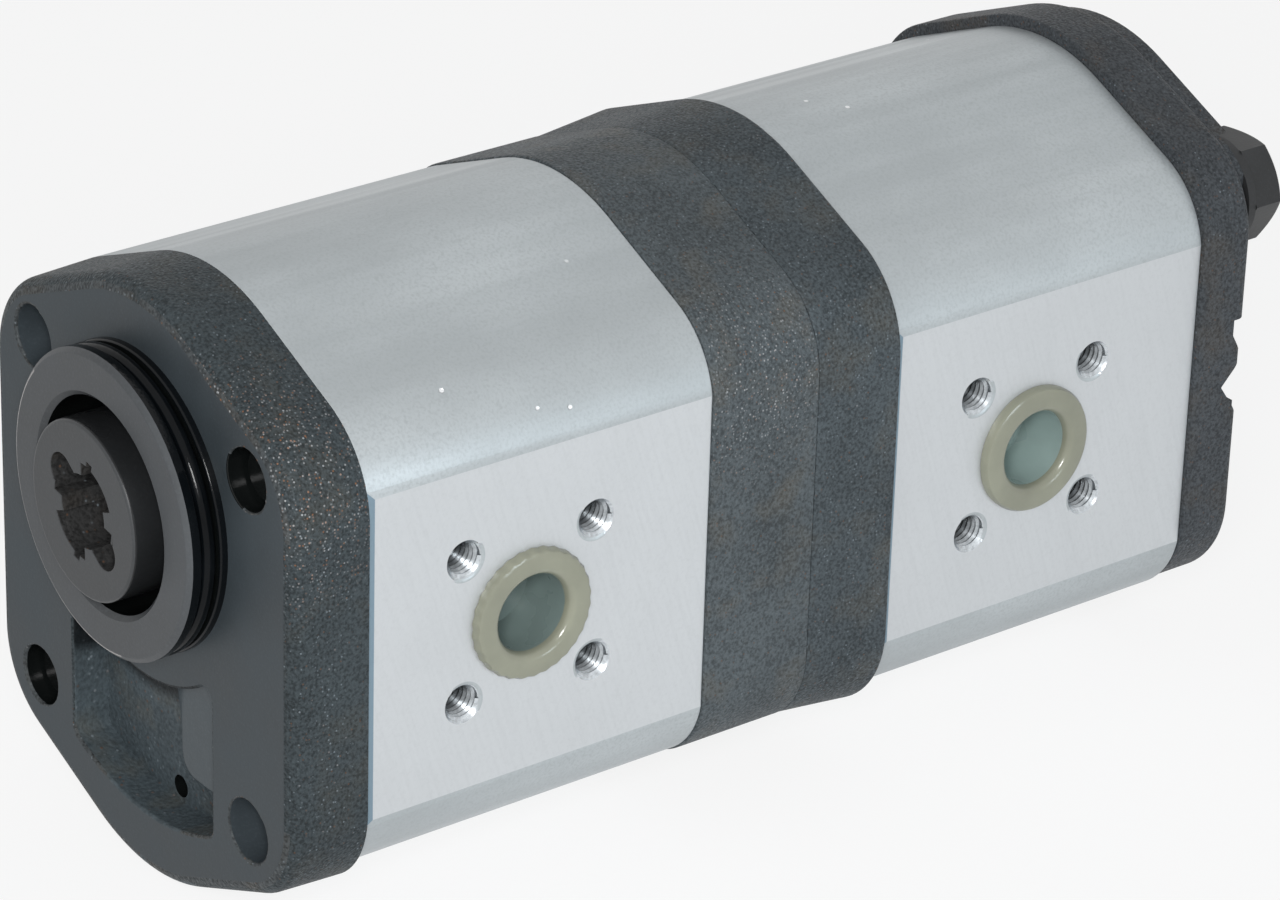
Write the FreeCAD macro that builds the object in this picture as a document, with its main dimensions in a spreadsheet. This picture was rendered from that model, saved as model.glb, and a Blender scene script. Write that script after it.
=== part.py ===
"""A tandem gear pump: two pairs of gears on one drive line, in five cast and extruded sections."""
import FreeCAD, Part
import math
import os
import re
from collections import namedtuple

import Sketcher

# The driving sizes, in millimetres and degrees. The origin is on the drive shaft's axis in the
# mounting face, +Y runs to the back of the pump and +X to the pressure ports.
SIZES = {
    # the outline of the sections, seen along the shafts
    "gear_distance": 30.0,
    "half_width": 42.0,
    "barrel_radius": 35.4,
    "corner_radius": 16.4,
    "flank_slope": 23.5,
    "port_face_cut": 0.25,
    # how far each casting's front stands proud of the extruded bodies, how it widens towards
    # its back and how far it sits above their middle
    "front_cover_growth": 0.2,
    "front_cover_draft": 2.4,
    "front_cover_rise": -0.85,
    "centre_front_growth": 0.3,
    "centre_rear_growth": 0.2,
    "centre_rear_draft": 5.8,
    "rear_cover_growth": 0.7,
    "rear_cover_rise": 1.4,
    "front_edge_radius": 2.8,
    "casting_edge_radius": 0.8,
    "rear_edge_radius": 2.0,
    # lengths along the shafts
    "front_cover_thickness": 13.5,
    "centre_front_thickness": 21.0,
    "centre_rear_thickness": 15.6,
    "rear_cover_thickness": 10.8,
    "rear_pad_height": 3.4,
    "rear_pad_margin": 1.7,
    "rear_side_margin": 5.2,
    "bolt_seat_height": 1.6,
    "bolt_seat_radius": 10.5,
    "block_length": 21.3,
    "front_gear_width": 22.5,
    "rear_gear_width": 23.0,
    "side_clearance": 0.05,
    # gears, journals and bushes
    "tooth_count": 12,
    "pressure_angle": 25.0,
    "tip_gap": 0.4,
    "tooth_backlash": 0.24,
    "root_round": 0.5,
    "chamber_clearance": 0.1,
    "block_clearance": 0.05,
    "journal_radius": 9.0,
    "journal_clearance": 0.03,
    "journal_end_gap": 0.6,
    "bush_wall": 1.5,
    "bush_setback": 0.3,
    "bush_fit": 0.01,
    "shaft_chamfer": 0.5,
    "relief_width": 6.0,
    "relief_depth": 1.2,
    # seals on the outer face of each bearing block
    "axial_band_radius": 14.7,
    "axial_band_width": 2.2,
    "axial_seal_thickness": 1.6,
    "backup_ring_thickness": 0.7,
    "axial_band_start": 78.0,
    "seal_gap": 0.05,
    # seals between the sections
    "section_seal_radius": 21.0,
    "section_seal_thickness": 2.2,
    # ports
    "port_setback": 30.65,
    "port_depth": 16.0,
    "pressure_port_radius": 7.5,
    "pressure_passage_radius": 6.0,
    "pressure_screw_circle": 35.0,
    "suction_port_radius": 10.0,
    "suction_passage_radius": 8.5,
    "suction_screw_circle": 40.0,
    "port_screw_radius": 3.0,
    "port_screw_depth": 12.0,
    "port_screw_entry": 0.4,
    "cap_rim_width": 3.5,
    "cap_rim_thickness": 1.8,
    "cap_depth": 10.0,
    "cap_wall": 0.8,
    "cap_gap": 0.12,
    "cap_chamfer": 0.8,
    "cap_rim_slope": 1.1,
    "cap_draft": 0.5,
    # bolts, mounting holes and dowels, by their distance from the outline's side and corner
    "bolt_side_distance": 12.0,
    "bolt_rise": 5.413,
    "bolt_radius": 5.0,
    "bolt_chamfer": 0.8,
    "bolt_thread_clearance": 0.05,
    "bolt_hole_clearance": 0.5,
    "bolt_end_depth": 3.2,
    "bolt_head_flats": 17.0,
    "bolt_head_height": 6.4,
    "bolt_face_inset": 0.35,
    "bolt_head_slope": 30.0,
    "washer_radius": 9.5,
    "washer_thickness": 1.6,
    "mounting_hole_radius": 5.25,
    "dowel_radius": 2.0,
    "dowel_length": 12.0,
    "dowel_clearance": 0.02,
    "dowel_hole_spare": 0.5,
    "dowel_side_distance": 15.0,
    "dowel_rise": 5.0,
    # pilot spigot and the bore behind it
    "pilot_radius": 25.0,
    "pilot_height": 7.0,
    "pilot_chamfer": 0.8,
    "pilot_bore_radius": 17.5,
    "pilot_bore_depth": 4.2,
    "ring_groove_near": 1.3,
    "ring_groove_width": 3.2,
    "ring_thickness": 2.6,
    "ring_inset": 0.05,
    "seal_bore_radius": 15.0,
    "shaft_seal_thickness": 6.0,
    "shaft_seal_wall": 1.4,
    "shaft_seal_chamfer": 0.6,
    "shaft_seal_fit": 0.02,
    "shaft_seal_lip": 0.05,
    "shaft_lip_at": 2.6,
    "shaft_lip_width": 0.6,
    "front_web": 2.0,
    "retaining_ring_thickness": 1.0,
    "retaining_ring_width": 2.4,
    "retaining_ring_opening": 6.0,
    "retaining_groove_depth": 0.7,
    "shaft_gap": 0.6,
    # cast pocket below the spigot
    "pocket_half_width": 20.0,
    "pocket_top_radius": 31.0,
    "pocket_bottom_radius": 45.0,
    "pocket_bottom": 55.5,
    "pocket_depth": 6.5,
    "pocket_tongue_width": 13.4,
    "pocket_tongue_height": 3.4,
    "pocket_tongue_end": 46.5,
    "pocket_corner_radius": 2.0,
    "drain_hole_radius": 1.9,
    "drain_hole_side": 1.2,
    "drain_hole_drop": 52.9,
    "drain_hole_depth": 3.0,
    # drive coupling and the tang that turns in it
    "coupling_radius": 14.6,
    "coupling_reach": 10.0,
    "coupling_gap": 0.3,
    "coupling_edge_radius": 0.6,
    "coupling_bore_radius": 6.0,
    "claw_slot_width": 6.0,
    "claw_slot_reach": 10.4,
    "claw_slot_angle": 143.5,
    "drive_groove_radius": 8.1,
    "drive_groove_start": 22.0,
    "drive_groove_end": 92.0,
    "relief_notch_width": 1.3,
    "relief_notch_reach": 9.0,
    "relief_notch_angle": 77.0,
    "side_notch_reach": 8.0,
    "side_notch_angle": -9.0,
    "tang_clearance": 0.1,
    "tang_length": 6.0,
    # spline and sleeve between the two drive gears
    "spline_count": 8,
    "spline_radius": 7.5,
    "spline_depth": 1.2,
    "spline_gap_width": 3.0,
    "spline_clearance": 0.08,
    "spline_length": 15.0,
    "sleeve_wall": 4.6,
    "sleeve_end_gap": 0.6,
    "sleeve_room": 1.4,
    "stage_tail_gap": 1.0,
    # relief cast into both sides of the rear cover, by its heights about the middle
    "side_relief_reach": 8.0,
    "relief_top": 12.0,
    "relief_upper_depth": 2.8,
    "relief_upper_bottom": 9.2,
    "relief_rib_depth": 1.2,
    "relief_rib_top": 6.4,
    "relief_rib_bottom": 3.6,
    "relief_lower_depth": 4.6,
    "relief_bottom": 6.5,
    # how far a cut runs past the surface where it starts
    "cut_overrun": 1.0,
}

# Lengths and radii that follow from the driving sizes
PITCH_RADIUS = "(gear_distance / 2)"
TIP_RADIUS = "(gear_distance / 2 + gear_distance / tooth_count)"
ROOT_RADIUS = f"(gear_distance - {TIP_RADIUS} - tip_gap)"
BASE_RADIUS = f"({PITCH_RADIUS} * cos(pressure_angle))"
CHAMBER_RADIUS = f"({TIP_RADIUS} + chamber_clearance)"
BLOCK_RADIUS = f"({CHAMBER_RADIUS} - block_clearance)"
BUSH_RADIUS = "(journal_radius + journal_clearance + bush_wall)"
SEAL_GROOVE_DEPTH = "(axial_seal_thickness + backup_ring_thickness + seal_gap)"
FRONT_BODY_AT = "front_cover_thickness"
FRONT_BODY_LENGTH = "(2 * block_length + front_gear_width + 2 * side_clearance)"
REAR_BODY_LENGTH = "(2 * block_length + rear_gear_width + 2 * side_clearance)"
CENTRE_FRONT_AT = f"({FRONT_BODY_AT} + {FRONT_BODY_LENGTH})"
CENTRE_REAR_AT = f"({CENTRE_FRONT_AT} + centre_front_thickness)"
REAR_BODY_AT = f"({CENTRE_REAR_AT} + centre_rear_thickness)"
REAR_COVER_AT = f"({REAR_BODY_AT} + {REAR_BODY_LENGTH})"
BOLT_SEAT = f"({REAR_COVER_AT} + rear_cover_thickness + bolt_seat_height)"
FRONT_GEAR_AT = f"({FRONT_BODY_AT} + block_length + side_clearance)"
REAR_GEAR_AT = f"({REAR_BODY_AT} + block_length + side_clearance)"
COUPLING_BACK = "(pilot_bore_depth - coupling_gap)"
SEAL_BORE_FLOOR = "(front_cover_thickness - front_web)"
CORNER_X = "(half_width - corner_radius)"
CORNER_Z = (f"((barrel_radius - corner_radius - sin(flank_slope) * {CORNER_X})"
            " / cos(flank_slope))")

# An edge of an outline that bends: its radius, +1 anticlockwise or -1 clockwise, and
# whether it covers more than half a turn
Arc = namedtuple("Arc", "radius turn large", defaults=(1, False))

doc = FreeCAD.newDocument("hydraulic_pump")
sheet = doc.addObject("Spreadsheet::Sheet", "Sizes")
for row, (alias, number) in enumerate(SIZES.items(), start=1):
    sheet.set(f"A{row}", alias.replace("_", " "))
    sheet.set(f"B{row}", str(number))
    sheet.setAlias(f"B{row}", alias)
doc.recompute()


def formula(text):
    """The text with the name of each size pointed at its cell."""
    return re.sub(r"[a-z]\w*", lambda m: f"Sizes.{m[0]}" if m[0] in SIZES else m[0], text)


def value(text):
    """What the text comes to with the present sizes."""
    result = sheet.evalExpression(formula(text))
    return float(getattr(result, "Value", result))


def bind(item, name, text):
    """Tie a property of an object to a formula of the sizes."""
    item.setExpression(name, formula(text))


def new_body(label, start="0"):
    """A body whose own origin lies on the drive axis, at the distance start behind the face."""
    body = doc.addObject("PartDesign::Body", label)
    body.Label = label
    bind(body, ".Placement.Base.y", start)
    return body


def new_sketch(body, name, level="0", plane="XZ_Plane"):
    """A sketch across the shafts, level behind the body's origin, or on another plane."""
    sketch = body.newObject("Sketcher::SketchObject", name)
    origin_plane = next(f for f in body.Origin.OriginFeatures if f.Role == plane)
    sketch.AttachmentSupport = [(origin_plane, "")]
    sketch.MapMode = "FlatFace"
    bind(sketch, ".AttachmentOffset.Base.z", f"-({level})" if plane == "XZ_Plane" else level)
    return sketch


def hold(sketch, kind, text, *where):
    """Add a measured constraint and tie it to a formula."""
    index = sketch.addConstraint(Sketcher.Constraint(kind, *where, value(text)))
    bind(sketch, f"Constraints[{index}]", text)


def hold_point(sketch, edge, point, across, up):
    """Keep one point of an edge at its distances from the sketch's origin."""
    hold(sketch, "DistanceX", across, -1, 1, edge, point)
    hold(sketch, "DistanceY", up, -1, 1, edge, point)


def circle(sketch, across, up, radius):
    """A full circle held by its centre and radius."""
    centre = FreeCAD.Vector(value(across), value(up), 0)
    shape = Part.Circle(centre, FreeCAD.Vector(0, 0, 1), value(radius))
    edge = sketch.addGeometry(shape)
    hold_point(sketch, edge, 3, across, up)
    hold(sketch, "Radius", radius, edge)


def bent_edge(start, end, arc):
    """The arc from start to end, and the numbers of its first and last point."""
    radius = value(arc.radius)
    chord = end - start
    rise = math.sqrt(max(radius ** 2 - (chord.Length / 2) ** 2, 0))
    normal = FreeCAD.Vector(-chord.y, chord.x, 0).normalize()
    side = arc.turn * (-1 if arc.large else 1)
    centre = (start + end) * 0.5 + normal * (rise * side)
    first, last = (start, end) if arc.turn > 0 else (end, start)
    angles = [math.atan2(p.y - centre.y, p.x - centre.x) for p in (first, last)]
    round_edge = Part.Circle(centre, FreeCAD.Vector(0, 0, 1), radius)
    ends = (1, 2) if arc.turn > 0 else (2, 1)
    return Part.ArcOfCircle(round_edge, *angles), ends


def outline(sketch, corners):
    """A closed outline through corners (across, up, arc), each arc leading to the next."""
    points = [FreeCAD.Vector(value(c[0]), value(c[1]), 0) for c in corners]
    edges = []
    for number, (across, up, arc) in enumerate(corners):
        start, end = points[number], points[(number + 1) % len(points)]
        shape, ends = bent_edge(start, end, arc) if arc else (Part.LineSegment(start, end), (1, 2))
        edge = sketch.addGeometry(shape)
        edges.append((edge, *ends))
        hold_point(sketch, edge, ends[0], across, up)
        if arc:
            hold(sketch, "Radius", arc.radius, edge)
    for number, (edge, _, end) in enumerate(edges):
        following, start, _ = edges[(number + 1) % len(edges)]
        sketch.addConstraint(Sketcher.Constraint("Coincident", edge, end, following, start))


def polar(radius, angle):
    """The formulas of a point at a radius and an angle from the sketch's origin."""
    return f"({radius}) * cos({angle})", f"({radius}) * sin({angle})"


def aimed(run, rise, angle):
    """The formulas of a point at a run along and a rise beside a line at an angle."""
    return (f"({run}) * cos({angle}) - ({rise}) * sin({angle})",
            f"({run}) * sin({angle}) + ({rise}) * cos({angle})")


def mirrored(corners):
    """The corners turned by half a turn about the middle between the two shafts."""
    return [(f"-({x})", f"-gear_distance - ({z})", arc) for x, z, arc in corners]


def section(sketch, growth="0", rise="0"):
    """The outline of a pump section: two barrels, sloped flanks and flat port faces."""
    barrel = f"(barrel_radius + {growth})"
    bend = f"(corner_radius + {growth})"
    side = f"(half_width + {growth})"
    corner_x = f"({CORNER_X} + {bend} * sin(flank_slope))"
    corner_z = f"({CORNER_Z} + {bend} * cos(flank_slope))"
    crown_x = f"({barrel} * sin(flank_slope))"
    crown_z = f"({barrel} * cos(flank_slope))"
    upper = [
        (side, CORNER_Z, Arc(bend)),
        (corner_x, corner_z, None),
        (crown_x, crown_z, Arc(barrel)),
        (f"-{crown_x}", crown_z, None),
        (f"-{corner_x}", corner_z, Arc(bend)),
        (f"-{side}", CORNER_Z, None),
    ]
    outline(sketch, [(x, f"{z} + {rise}", arc) for x, z, arc in upper + mirrored(upper)])


def figure_eight(sketch, radius):
    """Two circles that run into each other, one about each shaft."""
    waist = f"sqrt(({radius}) ^ 2 - (gear_distance / 2) ^ 2)"
    lobe = [(waist, "-gear_distance / 2", Arc(radius, large=True))]
    outline(sketch, lobe + mirrored(lobe))


def racetrack(sketch, radius):
    """Two half circles joined by straight runs, about both shafts."""
    half = [(radius, "0", Arc(radius)), ("0", radius, Arc(radius)), (f"-({radius})", "0", None)]
    outline(sketch, half + mirrored(half))


def rectangle(sketch, left, right, low, high):
    """A rectangle between four formulas."""
    outline(sketch, [(left, low, None), (right, low, None), (right, high, None), (left, high, None)])


def finish(body, feature, grows):
    """Recompute a feature and see that it added or took away material."""
    before = body.Shape.Volume if not body.Shape.isNull() else 0
    body.Tip = feature
    doc.recompute()
    change = body.Shape.Volume - before
    if (change <= 0) if grows else (change >= 0):
        raise ValueError(f"{body.Label}: {feature.Label} changes nothing")
    return feature


def pad(body, sketch, length, reverse=True, draft=None):
    """Raise a sketch: towards the back of the pump, or along its plane's normal."""
    feature = body.newObject("PartDesign::Pad", sketch.Name + "_pad")
    feature.Profile = sketch
    feature.Reversed = reverse
    bind(feature, "Length", length)
    if draft:
        bind(feature, "TaperAngle", draft)
    return finish(body, feature, grows=True)


def pocket(body, sketch, length, reverse=False):
    """Sink a sketch: towards the back of the pump, or against its plane's normal."""
    feature = body.newObject("PartDesign::Pocket", sketch.Name + "_pocket")
    feature.Profile = sketch
    feature.Reversed = reverse
    bind(feature, "Length", length)
    return finish(body, feature, grows=False)


def turned(body, name, steps, adds=True):
    """Turn a stepped profile about the shaft's axis, each step at (distance back, radius)."""
    sketch = new_sketch(body, name, plane="YZ_Plane")
    outline(sketch, [(along, radius, None) for along, radius in steps])
    kind = "PartDesign::Revolution" if adds else "PartDesign::Groove"
    feature = body.newObject(kind, name + "_turned")
    feature.Profile = sketch
    feature.ReferenceAxis = (sketch, ["H_Axis"])
    feature.Angle = 360
    return finish(body, feature, grows=adds)


def around(body, feature, count, grows):
    """Repeat a feature evenly about the body's own axis along the shafts."""
    pattern = body.newObject("PartDesign::PolarPattern", feature.Name + "_pattern")
    pattern.Originals = [feature]
    pattern.Axis = (next(f for f in body.Origin.OriginFeatures if f.Role == "Y_Axis"), [""])
    pattern.Angle = 360
    bind(pattern, "Occurrences", count)
    return finish(body, pattern, grows)


def edges_where(shape, test):
    """The names of the edges whose every point passes a test."""
    names = []
    for number, edge in enumerate(shape.Edges, start=1):
        if all(test(point) for point in edge.discretize(3)):
            names.append(f"Edge{number}")
    return names


def round_edges(body, name, radius, test, adds=False):
    """Round the edges of the body's shape that pass a test; an inside corner adds material."""
    base = body.Tip
    feature = body.newObject("PartDesign::Fillet", name)
    feature.Base = (base, edges_where(base.Shape, test))
    bind(feature, "Radius", radius)
    return finish(body, feature, grows=adds)


def near(number, text):
    """Whether a number is what a formula comes to."""
    return abs(number - value(text)) < 1e-4


# The two tie bolts and the two mounting holes share the corners of one square
TIE_BOLTS = [("(half_width - bolt_side_distance)", f"({CORNER_Z} + bolt_rise)")]
TIE_BOLTS += [(f"-({x})", f"-gear_distance - ({z})") for x, z in TIE_BOLTS]
MOUNTING_HOLES = [(f"-({x})", z) for x, z in TIE_BOLTS]
DOWELS = [("(half_width - dowel_side_distance)", "dowel_rise")]
DOWELS += [(f"-({x})", f"-gear_distance - ({z})") for x, z in DOWELS]


def drill(body, name, places, radius, length, level="0"):
    """Round holes of one radius from a level towards the back."""
    sketch = new_sketch(body, name, level)
    for across, up in places:
        circle(sketch, across, up, radius)
    return pocket(body, sketch, length)


def section_holes(body, length, dowels_in_front=True, dowels_behind=True):
    """What every section has: tie bolt and mounting holes right through, and dowel holes."""
    drill(body, body.Name + "_mounting", MOUNTING_HOLES, "mounting_hole_radius", length)
    drill(body, body.Name + "_bolts", TIE_BOLTS, "(bolt_radius + bolt_hole_clearance)", length)
    dowel_holes(body, length, dowels_in_front, dowels_behind)


def dowel_holes(body, length, in_front, behind):
    """Two dowel holes in either end of a section, half a dowel deep."""
    depth = "(dowel_length / 2 + dowel_hole_spare)"
    radius = "(dowel_radius + dowel_clearance)"
    if in_front:
        drill(body, body.Name + "_front_dowels", DOWELS, radius, depth)
    if behind:
        drill(body, body.Name + "_back_dowels", DOWELS, radius, depth, f"({length} - {depth})")


def seal_groove(body, name, level, depth):
    """A racetrack groove for a section seal in an end face."""
    sketch = new_sketch(body, name, level)
    for way in ("+", "-"):
        racetrack(sketch, f"section_seal_radius {way} (section_seal_thickness / 2 + seal_gap)")
    return pocket(body, sketch, depth)


def port(body, side, at, bore, passage, screw_circle):
    """A port with its narrower passage to the gears and four threaded holes around it."""
    name = f"{body.Name}_{'pressure' if side > 0 else 'suction'}"
    face = f"(half_width - port_face_cut) * {side}"
    centre = (at, "-gear_distance / 2")
    inner_reach = f"(half_width - port_face_cut - {BLOCK_RADIUS} / 2)"
    for step, radius, depth in (("port", bore, "port_depth"), ("passage", passage, inner_reach)):
        sketch = new_sketch(body, f"{name}_{step}", face, "YZ_Plane")
        circle(sketch, *centre, radius)
        pocket(body, sketch, depth, reverse=side < 0)
    screws = new_sketch(body, f"{name}_screws", face, "YZ_Plane")
    reach = f"({screw_circle} / 2 * sqrt(0.5))"
    for back in (-1, 1):
        for up in (-1, 1):
            circle(screws, f"{at} + {back} * {reach}", f"-gear_distance / 2 + {up} * {reach}",
                   "port_screw_radius")
    doc.recompute()
    before = body.Shape.Volume
    holes = body.newObject("PartDesign::Hole", f"{name}_threads")
    holes.Profile = screws
    holes.DepthType = "Dimension"
    holes.DrillPoint = "Angled"
    holes.DrillPointAngle = 118
    holes.HoleCutType = "Countersink"
    holes.HoleCutCountersinkAngle = 90
    holes.Reversed = side < 0
    bind(holes, "Diameter", "2 * port_screw_radius")
    bind(holes, "HoleCutDiameter", "2 * (port_screw_radius + port_screw_entry)")
    bind(holes, "Depth", "port_screw_depth")
    body.Tip = holes
    doc.recompute()
    if body.Shape.Volume >= before:
        raise ValueError(f"{holes.Label} cuts nothing")


def gear_body(label, at, length):
    """An extruded aluminium body: gear chambers, two ports, and a seal groove at each end."""
    body = new_body(label, at)
    base = new_sketch(body, f"{label}_outline")
    section(base)
    pad(body, base, length)
    faces = new_sketch(body, f"{label}_port_faces")
    for side in (-1, 1):
        near_edge = f"{side} * (half_width - port_face_cut)"
        far_edge = f"{side} * (half_width + port_face_cut)"
        rectangle(faces, near_edge, far_edge, "-gear_distance - barrel_radius", "barrel_radius")
    pocket(body, faces, length)
    chamber = new_sketch(body, f"{label}_chamber")
    figure_eight(chamber, CHAMBER_RADIUS)
    pocket(body, chamber, length)
    port(body, 1, "port_setback", "pressure_port_radius", "pressure_passage_radius",
         "pressure_screw_circle")
    port(body, -1, "port_setback", "suction_port_radius", "suction_passage_radius",
         "suction_screw_circle")
    section_holes(body, length)
    groove = "(section_seal_thickness + seal_gap)"
    seal_groove(body, f"{label}_front_groove", "0", groove)
    seal_groove(body, f"{label}_back_groove", f"({length} - {groove})", groove)
    return body


def casting(label, at, length, growth, rise="0", draft=None):
    """The solid slab that a cast section is made from; a draft widens it towards the back."""
    body = new_body(label, at)
    base = new_sketch(body, f"{label}_outline")
    section(base, growth, rise)
    pad(body, base, length, draft=draft)
    return body


def front_cover():
    """The front cover: pilot spigot, seal bore, threaded bolt holes and a cast pocket."""
    body = casting("front_cover", "0", "front_cover_thickness", "front_cover_growth",
                   "front_cover_rise", "front_cover_draft")
    round_edges(body, "front_cover_edge", "front_edge_radius", lambda p: abs(p.y) < 1e-6)
    spigot = new_sketch(body, "spigot", "-pilot_height")
    circle(spigot, "0", "0", "pilot_radius")
    pad(body, spigot, "(pilot_height + pocket_depth / 2)")
    front = "-pilot_height"
    ring_near = "-ring_groove_near"
    ring_far = "(-ring_groove_near - ring_groove_width)"
    ring_floor = "(pilot_radius - ring_inset - ring_thickness - seal_gap)"
    outside = "(pilot_radius + cut_overrun)"
    turned(body, "ring_groove", [(ring_far, ring_floor), (ring_near, ring_floor),
                                 (ring_near, outside), (ring_far, outside)], adds=False)
    turned(body, "spigot_chamfer", [(front, "(pilot_radius - pilot_chamfer)"),
                                    ("(pilot_chamfer - pilot_height)", "pilot_radius"),
                                    ("(pilot_chamfer - pilot_height)", outside),
                                    (front, outside)], adds=False)
    groove_back = f"({SEAL_BORE_FLOOR} - shaft_seal_thickness - 2 * seal_gap)"
    groove_front = f"({groove_back} - retaining_ring_thickness - 2 * seal_gap)"
    groove_floor = "(seal_bore_radius + retaining_groove_depth)"
    turned(body, "seal_bore", [
        (front, "0"),
        (front, "(pilot_bore_radius + pilot_chamfer)"),
        ("(pilot_chamfer - pilot_height)", "pilot_bore_radius"),
        ("pilot_bore_depth", "pilot_bore_radius"),
        ("pilot_bore_depth", "seal_bore_radius"),
        (groove_front, "seal_bore_radius"),
        (groove_front, groove_floor),
        (groove_back, groove_floor),
        (groove_back, "seal_bore_radius"),
        (SEAL_BORE_FLOOR, "seal_bore_radius"),
        (SEAL_BORE_FLOOR, "(journal_radius + shaft_gap)"),
        ("front_cover_thickness", "(journal_radius + shaft_gap)"),
        ("front_cover_thickness", "0"),
    ], adds=False)
    cover_pocket(body)
    drill(body, "cover_mounting", MOUNTING_HOLES, "mounting_hole_radius", "front_cover_thickness")
    drill(body, "cover_threads", TIE_BOLTS, "(bolt_radius + bolt_thread_clearance)",
          "front_cover_thickness")
    dowel_holes(body, "front_cover_thickness", False, True)
    return body


def cover_pocket(body):
    """The pocket cast into the face below the spigot, round a raised tongue at its side."""
    top = "-sqrt(pocket_top_radius ^ 2 - pocket_half_width ^ 2)"
    low = "-(pocket_bottom - pocket_bottom_radius"
    low += " + sqrt(pocket_bottom_radius ^ 2 - pocket_half_width ^ 2))"
    sketch = new_sketch(body, "face_pocket")
    tongue_left = "(pocket_half_width - pocket_tongue_width)"
    tongue_top = f"-sqrt(pocket_top_radius ^ 2 - {tongue_left} ^ 2)"
    outline(sketch, [
        ("-pocket_half_width", top, None),
        ("-pocket_half_width", low, Arc("pocket_bottom_radius")),
        ("pocket_half_width", low, None),
        ("pocket_half_width", "-pocket_tongue_end", None),
        (tongue_left, "-pocket_tongue_end", None),
        (tongue_left, tongue_top, Arc("pocket_top_radius", turn=-1)),
    ])
    pocket(body, sketch, "pocket_depth")
    shelf = new_sketch(body, "pocket_tongue")
    outline(shelf, [
        (tongue_left, "-pocket_tongue_end", None),
        ("pocket_half_width", "-pocket_tongue_end", None),
        ("pocket_half_width", top, Arc("pocket_top_radius", turn=-1)),
        (tongue_left, tongue_top, None),
    ])
    pocket(body, shelf, "(pocket_depth - pocket_tongue_height)")
    walls = [(f"{side}pocket_half_width", end) for side in ("", "-") for end in (low, top)]
    round_edges(body, "pocket_corners", "pocket_corner_radius",
                lambda p: p.y < value("pocket_depth") + 1e-6
                and any(near(p.x, x) and near(p.z, z) for x, z in walls), adds=True)
    drain = [("drain_hole_side", "-drain_hole_drop")]
    drill(body, "drain_hole", drain, "drain_hole_radius", "drain_hole_depth", "pocket_depth")


def centre_housing(label, at, length, growth, draft=None):
    """One of the two castings between the stages, with room for the sleeve of the drive line."""
    body = casting(label, at, length, growth, draft=draft)
    if draft:
        round_edges(body, f"{label}_edge", "casting_edge_radius", lambda p: near(p.y, length))
    room = "(spline_radius + spline_clearance + sleeve_wall + sleeve_room)"
    drill(body, f"{label}_sleeve_room", [("0", "0")], room, length)
    section_holes(body, length)
    return body


def rear_cover():
    """The rear cover: raised over both barrels, with a seat round each bolt and mounting hole
    and a relief in each side."""
    body = casting("rear_cover", REAR_COVER_AT, "rear_cover_thickness", "rear_cover_growth",
                   "rear_cover_rise")
    round_edges(body, "rear_cover_edge", "rear_edge_radius",
                lambda p: near(p.y, "rear_cover_thickness"))
    raised = new_sketch(body, "raised_pad", "(rear_cover_thickness - rear_edge_radius)")
    section(raised, "(rear_cover_growth - rear_pad_margin)", "rear_cover_rise")
    pad(body, raised, "(rear_pad_height + rear_edge_radius)")
    sides = new_sketch(body, "side_steps", "rear_cover_thickness")
    face = "(half_width + rear_cover_growth)"
    for side in (-1, 1):
        rectangle(sides, f"{side} * ({face} - rear_side_margin)", f"{side} * {face}",
                  "-gear_distance - barrel_radius", "barrel_radius")
    pocket(body, sides, "rear_pad_height")
    drill(body, "bolt_seats", TIE_BOLTS + MOUNTING_HOLES, "bolt_seat_radius",
          "rear_pad_height", "(rear_cover_thickness + bolt_seat_height)")
    for side in (-1, 1):
        side_relief(body, side, f"{side} * {face}")
    section_holes(body, "(rear_cover_thickness + rear_pad_height)", True, False)
    return body


def side_relief(body, side, face):
    """The stepped notch cast into one side of the rear cover: a flat step, a rib and a vee."""
    name = f"relief_{'right' if side > 0 else 'left'}"
    sketch = new_sketch(body, name, face, "YZ_Plane")
    behind = "-(rear_pad_height + cut_overrun)"
    steps = [(behind, "relief_top"), ("relief_upper_depth", "relief_top"),
             ("relief_upper_depth", "relief_upper_bottom"), ("relief_rib_depth", "relief_rib_top"),
             ("relief_rib_depth", "relief_rib_bottom"), ("relief_lower_depth", "0"),
             ("0", "-relief_bottom"), (behind, "-relief_bottom")]
    outline(sketch, [(f"rear_cover_thickness - ({depth})", f"-gear_distance / 2 + {height}", None)
                     for depth, height in steps])
    pocket(body, sketch, "side_relief_reach", reverse=side < 0)


def gear(label, at, width, shaft, tooth_on_line):
    """A gear and its journals in one piece, its teeth involute, with a tooth or a gap on the
    line between the two shafts."""
    body = new_body(label, at)
    blank = new_sketch(body, f"{label}_blank")
    circle(blank, "0", "0", TIP_RADIUS)
    pad(body, blank, width)
    gap = new_sketch(body, f"{label}_gap")
    middle = "(90 + 180 / tooth_count)" if tooth_on_line else "90"
    tooth_gap(gap, middle)
    cut = pocket(body, gap, width)
    around(body, cut, "tooth_count", grows=False)
    turned(body, f"{label}_shaft", shaft)
    return body


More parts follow.
